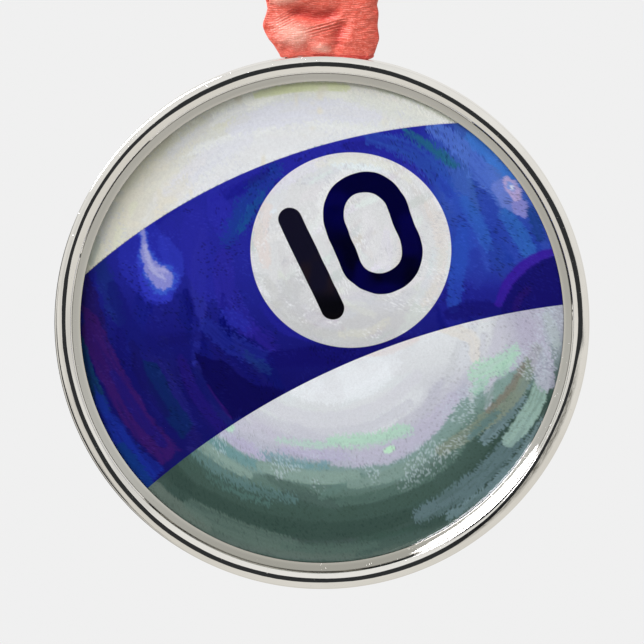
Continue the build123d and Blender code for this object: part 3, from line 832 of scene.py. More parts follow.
    # Right: azure strokes, green dab, small highlight, purple arc and navy wedge
    p.strokes(
        ([(3.0, 24.2), (11.4, 24.0), (17.6, 17.6)], 1.4, rgb(33, 34, 142), 0.8, 0.1, 0.2, 0.2),
        ([(6.6, 25.4), (12.4, 23.4), (17.4, 18.6)], 2.6, rgb(46, 84, 176), 0.75, 0.2, 0.35, 0.8),
        ([(11.4, 26.2), (14.8, 24.0), (18.2, 21.6)], 1.3, rgb(36, 106, 132), 0.85, 0.35, 0.3, 0.6),
        ([(16.2, 19.6), (19.6, 14.0), (20.4, 8.0)], 2.0, rgb(46, 76, 184), 0.8, 0.2, 0.3, 0.6),
        ([(20.8, 22.6), (22.8, 16.0), (23.6, 9.6)], 2.6, rgb(42, 66, 170), 0.75, 0.15, 0.3, 0.5),
        ([(15.2, 26.6), (19.0, 24.2), (22.0, 20.4), (25.2, 16.6)],
         2.7, rgb(84, 118, 208), 0.85, 0.25, 0.3, 0.7),
        ([(20.2, 25.4), (24.6, 21.8), (26.6, 18.8)], 2.2, rgb(64, 124, 212), 0.85, 0.15, 0.25, 0.4),
        ([(24.2, 18.6), (26.6, 16.2), (27.2, 15.6)], 3.0, rgb(110, 130, 208), 0.85, 0.12, 0.1, 0.3),
        ([(26.8, 16.3), (27.6, 15.2)], 2.3, rgb(142, 140, 206), 0.85, 0.1, 0.1, 0.2),
        ([(25.3, 19.4), (26.4, 18.0), (26.7, 17.3)], 1.9, rgb(186, 170, 214), 0.95, 0.15, 0.1, 0.15),
        ([(25.5, 19.1), (26.1, 18.3)], 0.9, rgb(120, 152, 224), 0.95, 0.2, 0.1, 0.2),
        ([(25.8, 18.9), (26.0, 18.4)], 0.5, rgb(236, 238, 246), 0.95, 0.5, 0.1, 0.2),
        ([(25.1, 14.8), (27.4, 11.6), (28.8, 8.8)], 2.3, rgb(50, 104, 188), 0.85, 0.15, 0.3, 0.4),
        ([(19.4, 16.8), (21.4, 13.6), (22.8, 10.4)], 2.0, rgb(52, 98, 192), 0.85, 0.15, 0.3, 0.4),
        ([(28.6, 15.4), (30.0, 11.8)], 1.5, rgb(30, 64, 134), 0.8, 0.3, 0.3, 0.6),
        ([(19.4, 13.0), (18.6, 7.4), (18.0, 2.0)], 2.2, rgb(44, 80, 186), 0.8, 0.12, 0.2, 0.4),
        ([(20.8, 9.4), (21.4, 5.4)], 2.0, rgb(42, 58, 164), 0.7, 0.2, 0.3, 0.6),
        ([(23.6, 10.6), (24.8, 6.4)], 1.6, rgb(40, 66, 160), 0.7, 0.2, 0.3, 0.8),
        ([(17.4, 1.2), (21.4, 2.0), (24.2, 1.6)], 2.2, rgb(22, 20, 110), 0.8, 0.2, 0.2, 0.4))
    wedge = ease(0.1, -0.1, np.hypot(x - 34.0, z + 0.2) - 9.6)
    p.wash(rgb(21, 17, 104), wedge * 0.95)
    p.stroke(arc((34.0, -0.2), 10.2, -74, -12), 1.5, rgb(58, 28, 156), 0.9, 0.1, 0.15, 0.1)
    p.stroke([(26.4, -0.2), (26.8, 2.6), (28.2, 4.6)], 1.0, rgb(48, 22, 110), 0.5, 0.2, 0.2, 0.3)
    p.wash(p.colour * 0.72, (p.speck > 0.9) * ease(0.5, 0.62, p.grain.at(x, z, 2.2)) * 0.9)
    p.wash(p.colour + rgb(12, 16, 24), (p.speck < 0.12) * ease(0.5, 0.62, p.grain.at(x + 50, z, 2.2)) * 0.5)
    return p.colour * 0.96


def paint_disc(x, z):
    """The number's white disc, with soft grey, cream and pink strokes."""
    p = Painting(x, z, rgb(215, 217, 218), 31)
    centre = DISC_CENTRE
    near = np.hypot(x - centre[0], z - centre[1]) < 15
    p.wash(rgb(190, 191, 193), ease(7, -1.5, z) * 0.75)
    p.dabs(80, (3, 8), (0.8, 2.0), tangent_about(*centre), 0.026, 0.8, near, 0.3)
    p.dabs(40, (2, 5), (0.7, 1.5), lambda a, b: 0.5, 0.028, 0.8, near, 0.4)
    p.strokes(
        ([(-7.6, 15.8), (-8.4, 11.6), (-7.6, 8.0)], 2.0, rgb(222, 212, 208), 0.75, 0.2, 0.3, 0.5),
        ([(-6.6, 18.2), (-3.2, 20.8), (0.4, 22.2)], 1.8, rgb(219, 219, 231), 0.7, 0.2, 0.3, 0.6))
    p.arcs(centre,
        (12.6, -20, 40, 1.3, rgb(222, 222, 210), 0.6, 0.2, 0.4, 0.5),
        (12.4, 60, 125, 1.8, rgb(220, 214, 209), 0.7, 0.2, 0.35, 0.5),
        (12.2, 250, 170, 1.7, rgb(196, 198, 196), 0.65, 0.15, 0.3, 0.4),
        (10.6, 245, 190, 1.6, rgb(203, 206, 210), 0.6, 0.15, 0.3, 0.4))
    p.strokes(
        ([(-2.4, 7.0), (-4.6, 3.6), (-3.2, 1.4)], 2.6, rgb(193, 195, 197), 0.6, 0.25, 0.3, 0.6),
        ([(3.4, 20.4), (0.6, 17.6), (0.2, 13.4)], 2.0, rgb(229, 231, 231), 0.75, 0.25, 0.3, 0.6),
        ([(6.2, 14.6), (7.0, 10.6), (8.4, 8.6)], 2.6, rgb(222, 223, 225), 0.7, 0.2, 0.3, 0.6),
        ([(6.6, 12.6), (5.8, 10.2)], 1.0, rgb(203, 203, 209), 0.6, 0.3, 0.3, 0.5),
        ([(4.2, 3.2), (8.8, 2.2), (12.4, 4.2)], 1.6, rgb(204, 206, 212), 0.6, 0.2, 0.4, 0.4),
        ([(2.6, -1.6), (6.4, -1.2), (9.0, 0.2)], 1.2, rgb(214, 214, 200), 0.5, 0.3, 0.4, 0.5),
        ([(13.2, 3.0), (14.8, 6.4), (15.6, 9.8)], 1.3, rgb(212, 216, 222), 0.6, 0.2, 0.3, 0.4))
    p.wash(rgb(232, 234, 236), (p.speck > 0.8) * ease(0.52, 0.7, p.grain.at(x, z, 2.0)) * 0.7)
    p.wash(rgb(190, 192, 198), (p.speck < 0.12) * ease(0.5, 0.7, p.grain.at(x + 20, z, 1.6)) * 0.6)
    return p.colour


def paint_ink(x, z):
    """The numerals' ink: warm black for the one, blue black for the zero."""
    p = Painting(x, z, rgb(1, 0, 62), 41)
    zero_shade = Grain(42).at(x, z, 2.6)
    p.wash(rgb(0, 0, 24), ease(0.35, 0.75, zero_shade) * 0.4 + ease(15.0, 10.5, z) * 0.6)
    p.wash(rgb(4, 2, 72), ease(0.62, 0.9, Grain(43).at(x, z, 3.2)) * 0.7)
    to_one = distance_to_line(x, z, ONE_TOP, ONE_FOOT) - ONE_HALF_STROKE
    to_zero = np.abs(distance_to_line(x, z, ZERO_TOP, ZERO_FOOT) - ZERO_RADIUS) - ZERO_HALF_STROKE
    one = (to_one < to_zero).astype(float)
    p.wash(rgb(17, 16, 34), one)
    p.wash(rgb(30, 22, 28), one * ease(10.5, 6.0, z) * ease(0.35, 0.8, Grain(44).at(x, z, 1.8)))
    p.wash(rgb(3, 3, 6), one * ease(5.0, 2.5, z) * 0.8)
    return p.colour


# ---------------------------------------------------------------- the ornament

# The ring's profile: radii, and heights in front of the back face
WALL_RADIUS = 34.6
CROWN_OUTER, CROWN_INNER = 35.68, 35.26
GROOVE_OUTER, GROOVE_INNER, GROOVE_FLOOR = 34.4, 34.27, 5.05
LIP_RADIUS, LIP_UNDERSIDE = 33.1, 4.35
# Film and print: heights in front of the back face
CAP_EDGE_HEIGHT = 4.25
CAP_DOME_RISE = 0.3
CAP_ROLL_RADIUS = 0.55
FILM_THICKNESS = 0.12
PRINT_THICKNESS = 0.15
HEM_HEIGHT = 1.9
HEM_INNER_RADIUS = 32.0
FILM_RISE = 0.24


def dome_height(radius):
    """Height of the film's domed face above the back face."""
    return CAP_EDGE_HEIGHT + CAP_DOME_RISE * (1 - (radius / (CAP_RADIUS - CAP_ROLL_RADIUS)) ** 2)


def crown_shift(turn):
    """How far the crown of the hand-polished bead wanders around the ring."""
    degrees = np.degrees(turn) % 360
    wander = (0.03 * np.sin(5 * turn + 1.1) + 0.02 * np.sin(9 * turn) + 0.012 * np.sin(23 * turn + 2)
              + 0.06 * np.cos(turn + 0.6))
    inward = 0.47 * bump(degrees, 117, 24) + 0.36 * bump(degrees, 247, 24) + 0.10 * bump(degrees, 50, 40)
    return wander - inward


def shape_ring(radius, height, turn):
    """Moves the bead's crown, and fills the groove except along three stretches."""
    hat = ease(34.45, 35.3, radius) * ease(36.5, 35.7, radius) * ease(5.4, 5.8, height)
    degrees = np.degrees(turn)
    opening = np.maximum(ease(34, 38, degrees) * ease(92, 80, degrees),
                         ease(154, 160, degrees) * ease(228, 222, degrees))
    opening = np.maximum(opening, 0.7 * ease(276, 296, degrees) * ease(320, 315, degrees))
    filled = 1 - opening
    outer = (np.abs(radius - GROOVE_OUTER) < 0.01) & (height < 5.2)
    inner = (np.abs(radius - GROOVE_INNER) < 0.01) & (height < 5.2)
    height = height + filled * (0.45 * outer + 0.39 * inner)
    radius = radius - 0.22 * bump(degrees, 196, 26) * (outer | inner) * opening
    lower_right_weight = bump(degrees, 117, 26)
    foot = ease(34.64, 34.46, radius) * ease(5.7, 5.9, height)
    height = height + hat * (0.13 * bump(degrees, 247, 22) - 0.05 * lower_right_weight)
    height = height + foot * (0.12 * lower_right_weight + 0.07 * bump(degrees, 138, 18))
    # The outer corner is crisp, but rounder around the left
    corner = ease(36.0, 36.15, radius) * ease(5.2, 5.4, height)
    radius = radius - corner * 1.8 * bump(degrees, 253, 42) * (RING_RADIUS - radius)
    return radius + hat * crown_shift(turn), height


def build_ring(material):
    """The cast ring: bead, groove, and the lip that slopes in over the cap."""
    corners = [
        (WALL_RADIUS, 0.0, 0.0), (RING_RADIUS, 0.0, 1.6), (RING_RADIUS, RING_DEPTH - 0.34, 0.22),
        (CROWN_OUTER, RING_DEPTH, 1.1), (CROWN_INNER, RING_DEPTH, 1.1),
        (GROOVE_OUTER, RING_DEPTH - 0.32, 0.12), (GROOVE_OUTER, GROOVE_FLOOR, 0.0),
        (GROOVE_INNER, GROOVE_FLOOR, 0.0), (34.24, 5.40, 0.05), (33.90, 5.175, 4.0),
        (33.60, 5.01, 4.0), (33.34, 4.885, 4.0), (LIP_RADIUS, 4.785, 0.08),
        (LIP_RADIUS, LIP_UNDERSIDE, 0.08), (33.7, LIP_UNDERSIDE, 0.0), (33.7, 0.6, 0.0),
        (WALL_RADIUS, 0.6, 0.0)]
    outline = rounded(corners, steps=12)
    ring = lathe("bezel_ring_cast", outline, material, 900, shape_ring, sharp=50)
    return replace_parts(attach(ring, "ornament"), "bezel_ring")


def build_bail(material):
    """Bent wire with flared brazed feet."""
    bend, foot, lean = 1.25, 35.2, 0.4
    left = [(-BAIL_HALF_WIDTH + lean * float(ease(BAR_HEIGHT - bend, foot + 0.8, z)), z)
            for z in np.linspace(foot, BAR_HEIGHT - bend, 8)]
    corner = [(-BAIL_HALF_WIDTH + bend - bend * math.cos(a), BAR_HEIGHT - bend + bend * math.sin(a))
              for a in np.linspace(0, math.pi / 2, 10)[1:]]
    half = left + corner
    bar = [(x, BAR_HEIGHT) for x in np.linspace(-BAIL_HALF_WIDTH + bend, BAIL_HALF_WIDTH - bend, 24)[1:-1]]
    path = np.array(half + bar + [(-x, z) for x, z in reversed(half)])
    run = np.gradient(path, axis=0)
    run /= np.linalg.norm(run, axis=1)[:, None]
    flare = 1 + 0.45 * ease(foot + 1.7, foot, path[:, 1])
    around = np.linspace(0, TURN, 28, endpoint=False)
    wire = WIRE_RADIUS * flare[:, None]
    out = wire * np.cos(around)
    points = np.stack([path[:, 0:1] - run[:, 1:2] * out, BAR_PLANE + wire * np.sin(around),
                       path[:, 1:2] + run[:, 0:1] * out], -1)
    faces = quad_grid(len(path), len(around), wrap_columns=True)
    faces.append(list(reversed(range(len(around)))))
    faces.append(list(range((len(path) - 1) * len(around), len(path) * len(around))))
    bail = make_piece("hanger_bail_wire", points.reshape(-1, 3), faces, material, 60)
    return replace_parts(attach(bail, "ornament"), "hanger_bail")


def build_film(material):
    """Clear film: a shallow dome that turns down into a skirt and a hem."""
    inner = CAP_RADIUS - CAP_ROLL_RADIUS
    radii = np.concatenate([np.linspace(0, 31.5, 40), np.linspace(31.7, 33.04, 40)])
    top = [(r, dome_height(min(r, inner))) for r in radii]
    skirt = [(33.2, 4.22), (33.4, 4.05), (33.48, 3.7), (33.5, HEM_HEIGHT)]
    hem = [(HEM_INNER_RADIUS, HEM_HEIGHT), (HEM_INNER_RADIUS, HEM_HEIGHT + FILM_THICKNESS)]
    inside = [(33.38, HEM_HEIGHT + FILM_THICKNESS), (33.36, 3.7), (33.28, 4.0), (33.12, 4.12)]
    under = [(r, h - 0.1) for r, h in reversed(top)]

    def curl(radius, height, turn):
        """The film lifts against the lip on the lower right, where it catches the light."""
        degrees = np.degrees(turn)
        lift = FILM_RISE * np.clip((radius - 32.50) / 0.54, 0, 1) ** 1.5
        lower_right = ease(104, 118, degrees) * ease(172, 158, degrees)
        return radius, height + lift * (height > 4.13) * (radius < 33.05) * lower_right

    film = lathe("film_sheet", top + skirt + hem + inside + under, material, 540, curl, 50)
    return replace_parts(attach(film, "ornament"), "film_cover")


def build_print(material):
    """The printed paper cap. Its face is a fine grid of points that carry the painting."""
    count = 288
    face_radius = 33.05
    line = np.linspace(-1, 1, count)
    a, b = np.meshgrid(line, line, indexing="ij")
    wide = np.abs(a) > np.abs(b)
    long_side = np.where(wide, a, b)
    ratio = np.where(wide, b, a) / np.where(long_side == 0, 1, long_side)
    angle = np.where(wide, math.pi / 4 * ratio, math.pi / 2 - math.pi / 4 * ratio)
    x = (face_radius * long_side * np.cos(angle)).ravel()
    z = (face_radius * long_side * np.sin(angle)).ravel()
    y = -(dome_height(np.hypot(x, z)) - FILM_THICKNESS)
    face = np.stack([x, y, z], 1)
    faces = [tuple(reversed(q)) for q in quad_grid(count, count)]
    ids = np.arange(count * count).reshape(count, count)
    border = np.concatenate([ids[0, :-1], ids[:-1, -1], ids[-1, :0:-1], ids[:0:-1, 0]])
    turn = np.arctan2(x[border], z[border])
    rings = [(33.2, 4.08), (33.3, 3.9), (33.37, 3.6), (33.37, 2.04), (32.0, 2.04), (32.0, 2.17),
             (33.23, 2.17), (33.23, 3.6), (33.1, 3.95), (32.9, 4.0)]
    rings += [(r, dome_height(r) - FILM_THICKNESS - PRINT_THICKNESS)
              for r in (31.0, 24.0, 12.0, 0.5)]
    points = [face]
    previous = border
    for radius, height in rings:
        start = sum(len(block) for block in points)
        points.append(np.stack([radius * np.sin(turn), np.full(len(turn), -height),
                                radius * np.cos(turn)], 1))
        ring = start + np.arange(len(border))
        nearby = np.roll(previous, -1), np.roll(ring, -1)
        faces += np.stack([previous, ring, nearby[1], nearby[0]], 1).tolist()
        previous = ring
    faces.append(previous.tolist())
    points = np.vstack(points)
    px, pz = points[:, 0], points[:, 2]
    piece = make_piece("picture_print_cap", points, faces, material, sharp=50)
    edges, top = picture_edges(px, pz)
    set_values(piece, **edges, pale_paint=to_linear(paint_pale(px, pz, top)),
               blue_paint=to_linear(paint_blue(px, pz)), disc_paint=to_linear(paint_disc(px, pz)),
               ink_paint=to_linear(paint_ink(px, pz)))
    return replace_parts(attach(piece, "ornament"), "picture_print")


def build_backs(plate_metal, foam):
    """Back plate with a rolled edge and a shallow pressed ring, and the foam disc under it."""
    plate = [(0, 0.0), (22.0, 0.0), (22.4, 0.06), (23.0, 0.06), (23.4, 0.0), (34.35, 0.0), (34.48, 0.04),
             (34.54, 0.14), (34.55, 0.3), (34.5, 0.6), (0, 0.6)]
    piece = lathe("back_plate_disc", plate, plate_metal, 360, None, 30)
    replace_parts(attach(piece, "ornament"), "back_plate")
    pad = [(0, 0.62), (29.6, 0.62), (29.9, 0.8), (30.0, 1.0), (29.9, 1.2), (29.6, 1.38), (0, 1.38)]
    piece = lathe("foam_disc", pad, foam, 180, None, 50)
    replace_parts(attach(piece, "ornament"), "foam_pad")


# ---------------------------------------------------------------- the ribbon

SEAM_HEIGHT = 47.0
TWIST_TOP = 64.0
LEG_OFFSET = 2.4


def turn_between(sheet):
    """Bakes the sheet's placement into its points."""
    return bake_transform(sheet)


def front_relief(x, z):
    """Folds of the front leg where the ribbon is gathered over the bar. Positive is forward."""
    slant = z - pocket_line(x)
    pocket = -0.58 * ease(-5.4, -3.0, x) * ease(3.0, 1.0, x) * np.where(slant > 0, bump(slant, 0, 1.1),
                                                                       bump(slant, 0, 0.55))
    brow = 0.30 * bump(x, -4.5, 3.0) * bump(z, 44.6, 0.9)
    roll = 0.50 * bump(x, -3.9, 2.6) * bump(z, 39.7, 1.7)
    lower_roll = 0.42 * bump(x, 0.4, 2.0) * bump(z, 37.9, 0.8)
    crease = -0.50 * bump(x, 2.2 + 0.2 * (z - 39), 0.95) * ease(41.8, 40.4, z) * ease(37.0, 38.2, z)
    shoulder = 0.30 * bump(x, 5.0, 2.2) * ease(45.5, 42.5, z)
    noise = Grain(7)
    crumple = 0.20 * (noise.at(x, z, 1.5, 1.1) - 0.5) + 0.10 * (noise.at(x + 9, z, 0.6, 0.35) - 0.5)
    gather = 0.22 * (noise.at(x, z * 0.3, 1.7) - 0.5) * ease(38.7, 37.4, z)
    edge = -0.35 * (ease(-5.6, -7.9, x) + ease(5.9, 7.7, x)) * ease(45.5, 43.5, z)
    total = pocket + brow + roll + lower_roll + crease + shoulder + crumple + gather + edge
    return (total + 0.085 * ripples(x, z)) * ease(46.8, 44.6, z)


def pocket_line(x):
    """Height of the deepest part of the front fold."""
    return 42.45 - 0.70 * bump(x, -0.4, 2.1)


def ripples(x, z):
    """Two sets of fine slanting ripples, where the cloth is pulled round the bar."""
    right = z - 40.7 - 0.27 * (x - 0.6)
    left = z - 41.9 - 0.52 * (x + 4.8)
    return (np.cos(TURN * right / 0.43) * bump(x, 0.5, 2.1) * bump(right, 0, 0.95)
            + 0.45 * np.cos(TURN * left / 0.40) * bump(x, -4.6, 2.1) * bump(left, -0.3, 1.5))


def front_tone(x, z):
    """Where the satin catches the light and where it sinks into shade, on the front leg."""
    slant = z - pocket_line(x)
    deep = -0.75 * ease(-5.6, -3.4, x) * ease(3.4, 1.2, x) * np.where(slant > 0, bump(slant, 0, 1.25),
                                                                     bump(slant, 0, 0.45))
    top_left = 0.50 * ease(-1.8, -4.2, x) * ease(42.8, 44.2, z)
    left_glow = (0.55 * bump(x, -3.3, 1.7) * bump(z, 39.4, 1.2)
                 + 0.30 * bump(x, -6.2, 1.8) * bump(z, 40.6, 2.2))
    low_glow = 0.60 * bump(x, 0.5, 1.5) * bump(z, 37.6, 0.50)
    under = -1.1 * ease(37.15, 36.8, z) * ease(-2.2, -0.6, x)
    right_side = -0.22 * ease(1.4, 3.6, x)
    crease = -0.40 * bump(x, 2.1 + 0.2 * (z - 39), 0.9) * ease(41.6, 40.4, z) * ease(36.8, 37.8, z)
    tone = deep + top_left + left_glow + low_glow + under + right_side + crease + 0.5 * ripples(x, z)
    return tone * ease(47.0, 45.0, z)


def back_relief(x, z):
    """Softer folds of the back leg."""
    noise = Grain(8)
    crumple = 0.25 * (noise.at(x, z, 2.2, 1.6) - 0.5)
    gather = 0.18 * np.cos(TURN * (x + 0.5) / 2.6) * ease(43.0, 39.5, z)
    return (crumple + gather) * ease(46.8, 44.6, z)


def build_lower_run(material):
    """The gathered run under the bar, up to the seam height on both sides."""
    front = [(2.4, 47.0, -7.95, 7.95), (2.35, 45.6, -7.5, 7.65), (2.15, 44.1, -7.2, 7.42),
             (2.0, 42.4, -7.6, 7.72), (1.95, 40.7, -8.06, 7.6), (1.95, 39.0, -7.35, 7.8),
             (1.8, 37.95, -6.5, 7.5), (1.5, 37.0, -5.85, 7.1), (1.12, 36.56, -5.5, 6.8),
             (0.7, 36.70, -3.7, 3.9), (0.0, 36.95, -3.3, 3.3)]
    back = [(-0.9, 37.3, -3.3, 3.3), (-1.55, 38.1, -3.8, 3.8), (-1.75, 39.3, -5.0, 5.0),
            (-1.85, 41.2, -6.9, 6.9), (-2.15, 43.6, -7.6, 7.6), (-2.35, 45.6, -7.9, 7.9),
            (-2.4, 47.0, -7.95, 7.95)]
    rows = smooth_rows(front + back, 380)
    offset = rows[:, 0]

    def relief(x, z):
        front_side = ease(-0.3, 0.6, offset)[:, None]
        return front_relief(x, z) * front_side + back_relief(x, z) * (1 - front_side)

    def sag(x, z):
        """The hem follows the ring's curve, but for one small lobe."""
        below_ring_top = RING_RADIUS - np.sqrt(RING_RADIUS ** 2 - x ** 2)
        return (0.35 * below_ring_top - 0.10 * bump(x, -2.6, 0.7)) * ease(38.6, 37.0, z)

    def tone(x, z):
        return front_tone(x, z) * ease(-0.3, 0.6, offset)[:, None]

    centre = np.stack([BAR_PLANE - offset, rows[:, 1]], 1)
    sheet = ribbon_sheet("ribbon_lower_run", centre, rows[:, 2], rows[:, 3], material,
                         across=161, relief=relief, sag=sag, tone=tone)
    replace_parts(sheet, "ribbon_lower")
    return turn_between(sheet)


def straight_run(name, side, low, high, material, seed):
    """One leg of the ribbon between two heights, nearly flat, with slow waves."""
    z = np.linspace(high, low, 90) if side < 0 else np.linspace(low, high, 90)
    centre = np.stack([BAR_PLANE + side * np.full_like(z, LEG_OFFSET), z], 1)
    wave = Grain(seed)
    calm = ease(low, low + 2.5, z) * ease(high, high - 2.5, z)

    def relief(x, height):
        return 0.35 * (wave.at(x, height, 6.0, 5.0) - 0.5) * calm[:, None]

    edge = np.full_like(z, RIBBON_HALF)
    return ribbon_sheet(name, centre, -edge, edge, material, across=41, relief=relief)


def build_twist_runs(material):
    """The two straight legs where the ribbon twists."""
    for side, word, node in ((-1, "front", "ribbon_mid_front"), (1, "back", "ribbon_mid_back")):
        sheet = straight_run("ribbon_twist_run_" + word, side, SEAM_HEIGHT, TWIST_TOP, material, 50 + side)
        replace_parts(sheet, node)
        turn_between(sheet)


def build_loop_runs(material):
    """The two sides of the hanging loop, up to the knot, drawing in and pleating there."""
    for side, word, node in ((-1, "front", "ribbon_upper_front"), (1, "back", "ribbon_upper_back")):
        rows = smooth_rows([(2.4, 64, 7.95), (2.4, 70, 7.95), (2.45, 76, 7.95), (3.3, 80, 7.95),
                            (4.7, 83.5, 7.9), (5.2, 87, 7.7), (4.5, 90.6, 6.8), (2.7, 93.6, 5.4),
                            (0.9, 95.6, 4.5)], 150)
        if side < 0:
            rows = rows[::-1]
        centre = np.stack([BAR_PLANE + side * rows[:, 0], rows[:, 1]], 1)
        wave = Grain(60 + side)
        calm = ease(64, 67, rows[:, 1])[:, None]
        pleat = ease(85.5, 93, rows[:, 1])[:, None]

        def relief(x, height):
            folds = 0.42 * pleat * np.cos(TURN * x / (3.4 - 1.2 * pleat))
            return calm * 0.5 * (wave.at(x, height, 5.5, 6.5) - 0.5) + folds

        sheet = ribbon_sheet("ribbon_loop_run_" + word, centre, -rows[:, 2], rows[:, 2], material,
                             across=61, relief=relief)
        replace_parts(sheet, node)
        turn_between(sheet)


def build_knot(material):
    """Overhand knot: ribbon wrapped slantwise over itself, pulled in at its shoulders."""
    radius = (KNOT_HIGH.z - KNOT_LOW.z) / 2
    half_width = KNOT_HIGH.x
    along, around = 120, 160
    t = np.linspace(-1, 1, along)[:, None]
    a = np.linspace(0, TURN, around, endpoint=False)[None, :]
    x = half_width * np.sin(t * math.pi / 2)
    barrel = radius * (1 - np.abs(t) ** 3.2) ** 0.5 * (1 - 0.10 * t ** 2)
    wrap = (a / TURN * 2 + t * 0.55 + 0.08 * np.sin(3 * a)) % 1.0
    step = 0.55 * (ease(0.0, 0.12, wrap) - 1) * (1 - t ** 4)
    pleats = 0.16 * np.sin(TURN * (4.5 * t + 0.8 * np.sin(a + 0.6) + 0.3 * wrap))
    creases = 0.35 * (Grain(9).at(x * np.ones_like(a), 9 * np.sin(a), 1.4, 3.0)
                      + Grain(10).at(x * np.ones_like(a), 9 * np.cos(a), 1.4, 3.0) - 1)
    r = np.clip(barrel + (step + pleats + creases * 0.6) * (1 - np.abs(t) ** 3) - 0.15, 0.02, radius)
    y = BAR_PLANE + r * np.sin(a) * 0.97
    z = KNOT_HEIGHT + r * np.cos(a)
    points = np.stack([x * np.ones_like(a), y, z], -1).reshape(-1, 3)
    faces = [tuple(reversed(q)) for q in quad_grid(along, around, wrap_columns=True)]
    faces.append(list(range(around)))
    faces.append(list(reversed(range((along - 1) * around, along * around))))
    knot = make_piece("ribbon_knot_wrap", points, faces, material, 70)
    # The knot's steps, pleats and creases are stored as painted shading: painted shade in its hollows,
    # painted highlight on its rises
    set_values(knot, along=(np.ones_like(t) * a * radius).ravel() + points[:, 0] * 0.3,
               across=points[:, 0], fold=(step + pleats + creases).ravel())
    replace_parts(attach(knot, "ribbon_top"), "ribbon_knot")


def build_tails(material):
    """The ribbon's two free ends: pleated at the knot, flaring out to a slanted cut."""
    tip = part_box("ribbon_tail_front")[1].z / MM
    base = KNOT_HEIGHT + 2.6
    for side, word in ((-1, "front"), (1, "back")):
        rows = smooth_rows([(1.2, base, 3.6), (1.5, base + 2.2, 4.3), (2.1, base + 5, 5.9),
                            (3.0, base + 8.2, 7.5), (4.3, base + 12, 7.95), (6.0, base + 16, 7.95),
                            (8.1, tip, 7.95)], 110)
        if side < 0:
            rows = rows[::-1]
        centre = np.stack([BAR_PLANE + side * rows[:, 0], rows[:, 1]], 1)
        wave = Grain(70 + side)
        gathered = ease(base + 9, base + 1, rows[:, 1])[:, None]

        def relief(x, height):
            folds = 0.55 * gathered * np.cos(TURN * x / 2.6 + side)
            curl = 0.5 * (1 - gathered) * np.sin(x * 0.35 + height * 0.12)
            return folds + curl + 0.5 * (wave.at(x, height, 5.0, 6.0) - 0.5)

        sheet = ribbon_sheet("ribbon_tail_" + word + "_sheet", centre, -rows[:, 2], rows[:, 2],
                             material, across=61, relief=relief)
        slant_cut(sheet, side, base, tip)
        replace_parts(sheet, "ribbon_tail_" + word)
        turn_between(sheet)


def slant_cut(sheet, side, base, tip):
    """Lowers one side of a tail's end, so that the free edge is cut at a slant."""
    points = np.array([v.co for v in sheet.data.vertices]) / MM
    share = np.clip((points[:, 2] - base) / (tip - base), 0, 1)
    low_side = np.clip(0.5 - side * points[:, 0] / (2 * RIBBON_HALF), 0, 1)
    points[:, 2] -= 5.0 * low_side * share ** 1.5
    points[:, 1] -= side * 1.6 * low_side * share ** 1.5
    sheet.data.vertices.foreach_set("co", (points * MM).astype(np.float32).ravel())
    sheet.data.update()


# ---------------------------------------------------------------- studio

def build_world():
    """Soft studio surroundings, seen by everything except the camera, which sees plain pale grey.
    Directions are measured as an angle off the line that a flat, front-facing mirror reflects to
    the camera, and as an angle around that line, clockwise from straight up."""
    world = bpy.data.worlds.new("studio")
    world.use_nodes = True
    bpy.context.scene.world = world
    n = Nodes(world.node_tree)
    direction = n.add("ShaderNodeTexCoord").outputs["Generated"]
    ahead = (0, -math.cos(CAMERA_ELEVATION), -math.sin(CAMERA_ELEVATION))
    up = (0, -math.sin(CAMERA_ELEVATION), math.cos(CAMERA_ELEVATION))
    degrees = 180 / math.pi
    off = n.times(n.calc("ARCCOSINE", n.dot(direction, ahead)), degrees)
    around = n.times(n.calc("ARCTAN2", n.dot(direction, (1, 0, 0)), n.dot(direction, up)),
                    degrees)
    waver = n.noise(direction, 2.2, 3.0)
    height = n.dot(direction, (0, 0, 1))
    wall = n.mix(n.steps(height, -0.6, 0.8), (0.70, 0.675, 0.625), (0.86, 0.855, 0.84))
    wall = n.mix(n.steps(waver, 0.3, 0.7, 0.0, 0.35), wall, (0.95, 0.94, 0.92))
    # A grey zone that the inward-sloping lip reflects
    haze = n.times(n.steps(off, 42, 52), n.steps(off, 78, 68))
    wall = n.mix(n.times(haze, 0.30), wall, (0.38, 0.38, 0.37))
    # The dark opening around the camera, which the bead's crown reflects
    edge = n.plus(n.steps(waver, 0.3, 0.7, -4.0, 4.0), off)
    opposite = n.plus(around, n.steps(around, 0, 0.01, 180, -180))
    for angle, widening, narrowing in ((around, -4.0, 14.0), (opposite, -6.0, 7.0)):
        wide = n.times(n.steps(angle, 36, 55), n.steps(angle, 94, 80))
        narrow = n.times(n.steps(angle, 94, 108), n.steps(angle, 150, 138))
        edge = n.plus(edge, n.times(wide, widening))
        edge = n.plus(edge, n.times(narrow, narrowing))
    wall = n.mix(n.steps(edge, 33, 29), wall, (0.030, 0.032, 0.034))
    # A dark strip low on the left, seen in the ring's outer flank
    strip = n.times(n.steps(off, 64, 72), n.steps(off, 156, 146))
    side = n.times(n.steps(around, -160, -135), n.steps(around, -62, -85))
    wall = n.mix(n.times(strip, side), wall, (0.05, 0.045, 0.04))
    # Softbox high on the left
    box_off = math.radians(68)
    box_around = math.radians(-43)
    axis = (Vector(ahead) * math.cos(box_off)
            + (Vector((1, 0, 0)) * math.sin(box_around) + Vector(up) * math.cos(box_around))
            * math.sin(box_off))
    lamp_angle = n.times(n.calc("ARCCOSINE", n.dot(direction, tuple(axis))), degrees)
    wall = n.mix(n.steps(lamp_angle, 18.8, 17.6), wall, (15.6, 15.0, 16.2))
    camera_ray = n.add("ShaderNodeLightPath").outputs["Is Camera Ray"]
    colour = n.mix(camera_ray, wall, (0.871, 0.871, 0.871))
    background = n.add("ShaderNodeBackground", {"Color": colour, "Strength": 1.0})
    n.add("ShaderNodeOutputWorld", {0: background.outputs[0]})


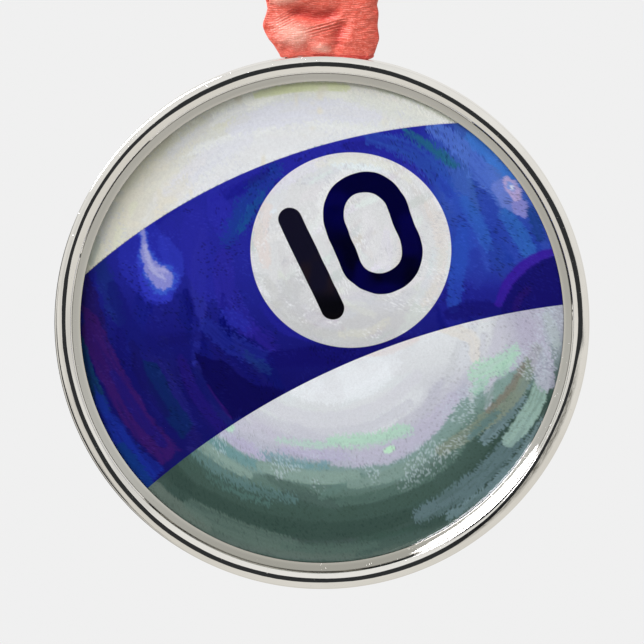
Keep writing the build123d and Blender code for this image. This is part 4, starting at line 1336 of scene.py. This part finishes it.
def build_floor():
    """Plain pale floor below the hanging ornament, evenly lit."""
    floor_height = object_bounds()[0][2] - 25 * MM
    mesh = bpy.data.meshes.new("studio_floor")
    half = 40.0   # metres
    corners = [(-half, -half, floor_height), (half, -half, floor_height), (half, half, floor_height),
               (-half, half, floor_height)]
    mesh.from_pydata(corners, [], [(0, 1, 2, 3)])
    material, n = new_material("pale_floor")
    glow = n.add("ShaderNodeEmission", {"Color": (0.871, 0.871, 0.871), "Strength": 1.0})
    n.add("ShaderNodeOutputMaterial", {0: glow.outputs[0]})
    mesh.materials.append(material)
    floor = bpy.data.objects.new("studio_floor", mesh)
    bpy.context.scene.collection.objects.link(floor)
    floor.visible_diffuse = False
    floor.visible_glossy = False
    floor.visible_transmission = False
    floor.visible_shadow = False


def build_camera():
    """A long lens straight in front of the ornament, a little above it."""
    camera_data = bpy.data.cameras.new("photo_camera")
    camera_data.sensor_width = 36
    camera_data.lens = 36 * CAMERA_DISTANCE / PICTURE_WIDTH
    camera_data.clip_end = 200
    camera = bpy.data.objects.new("photo_camera", camera_data)
    bpy.context.scene.collection.objects.link(camera)
    target = Vector((0, -3.4 * MM, 0))
    offset = Vector((0, -math.cos(CAMERA_ELEVATION), math.sin(CAMERA_ELEVATION)))
    camera.location = target + offset * CAMERA_DISTANCE * MM
    camera.rotation_euler = (-offset).to_track_quat("-Z", "Y").to_euler()
    bpy.context.scene.camera = camera
    bpy.context.scene.view_settings.view_transform = "Standard"


def assign(node, material):
    """Gives a carried-over CAD node its material."""
    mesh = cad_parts[node].data
    mesh.materials.clear()
    mesh.materials.append(material)


def build():
    """Every piece of the ornament, then the studio."""
    silver = silver_material()
    satin = satin_material()
    tin = brushed_material("tin_plate", (0.55, 0.55, 0.54), (0.72, 0.72, 0.71), 0.25)
    plate = brushed_material("polished_back_plate", (0.74, 0.74, 0.73), (0.90, 0.90, 0.89), 0.14)
    build_ring(silver)
    build_bail(wire_material())
    build_film(film_material())
    build_print(print_material())
    build_backs(plate, foam_material())
    for node in ("button_shell", "button_back"):
        assign(node, tin)
    build_lower_run(satin)
    build_twist_runs(satin)
    build_loop_runs(satin)
    build_knot(satin)
    build_tails(satin)
    build_world()
    build_floor()
    build_camera()


build()
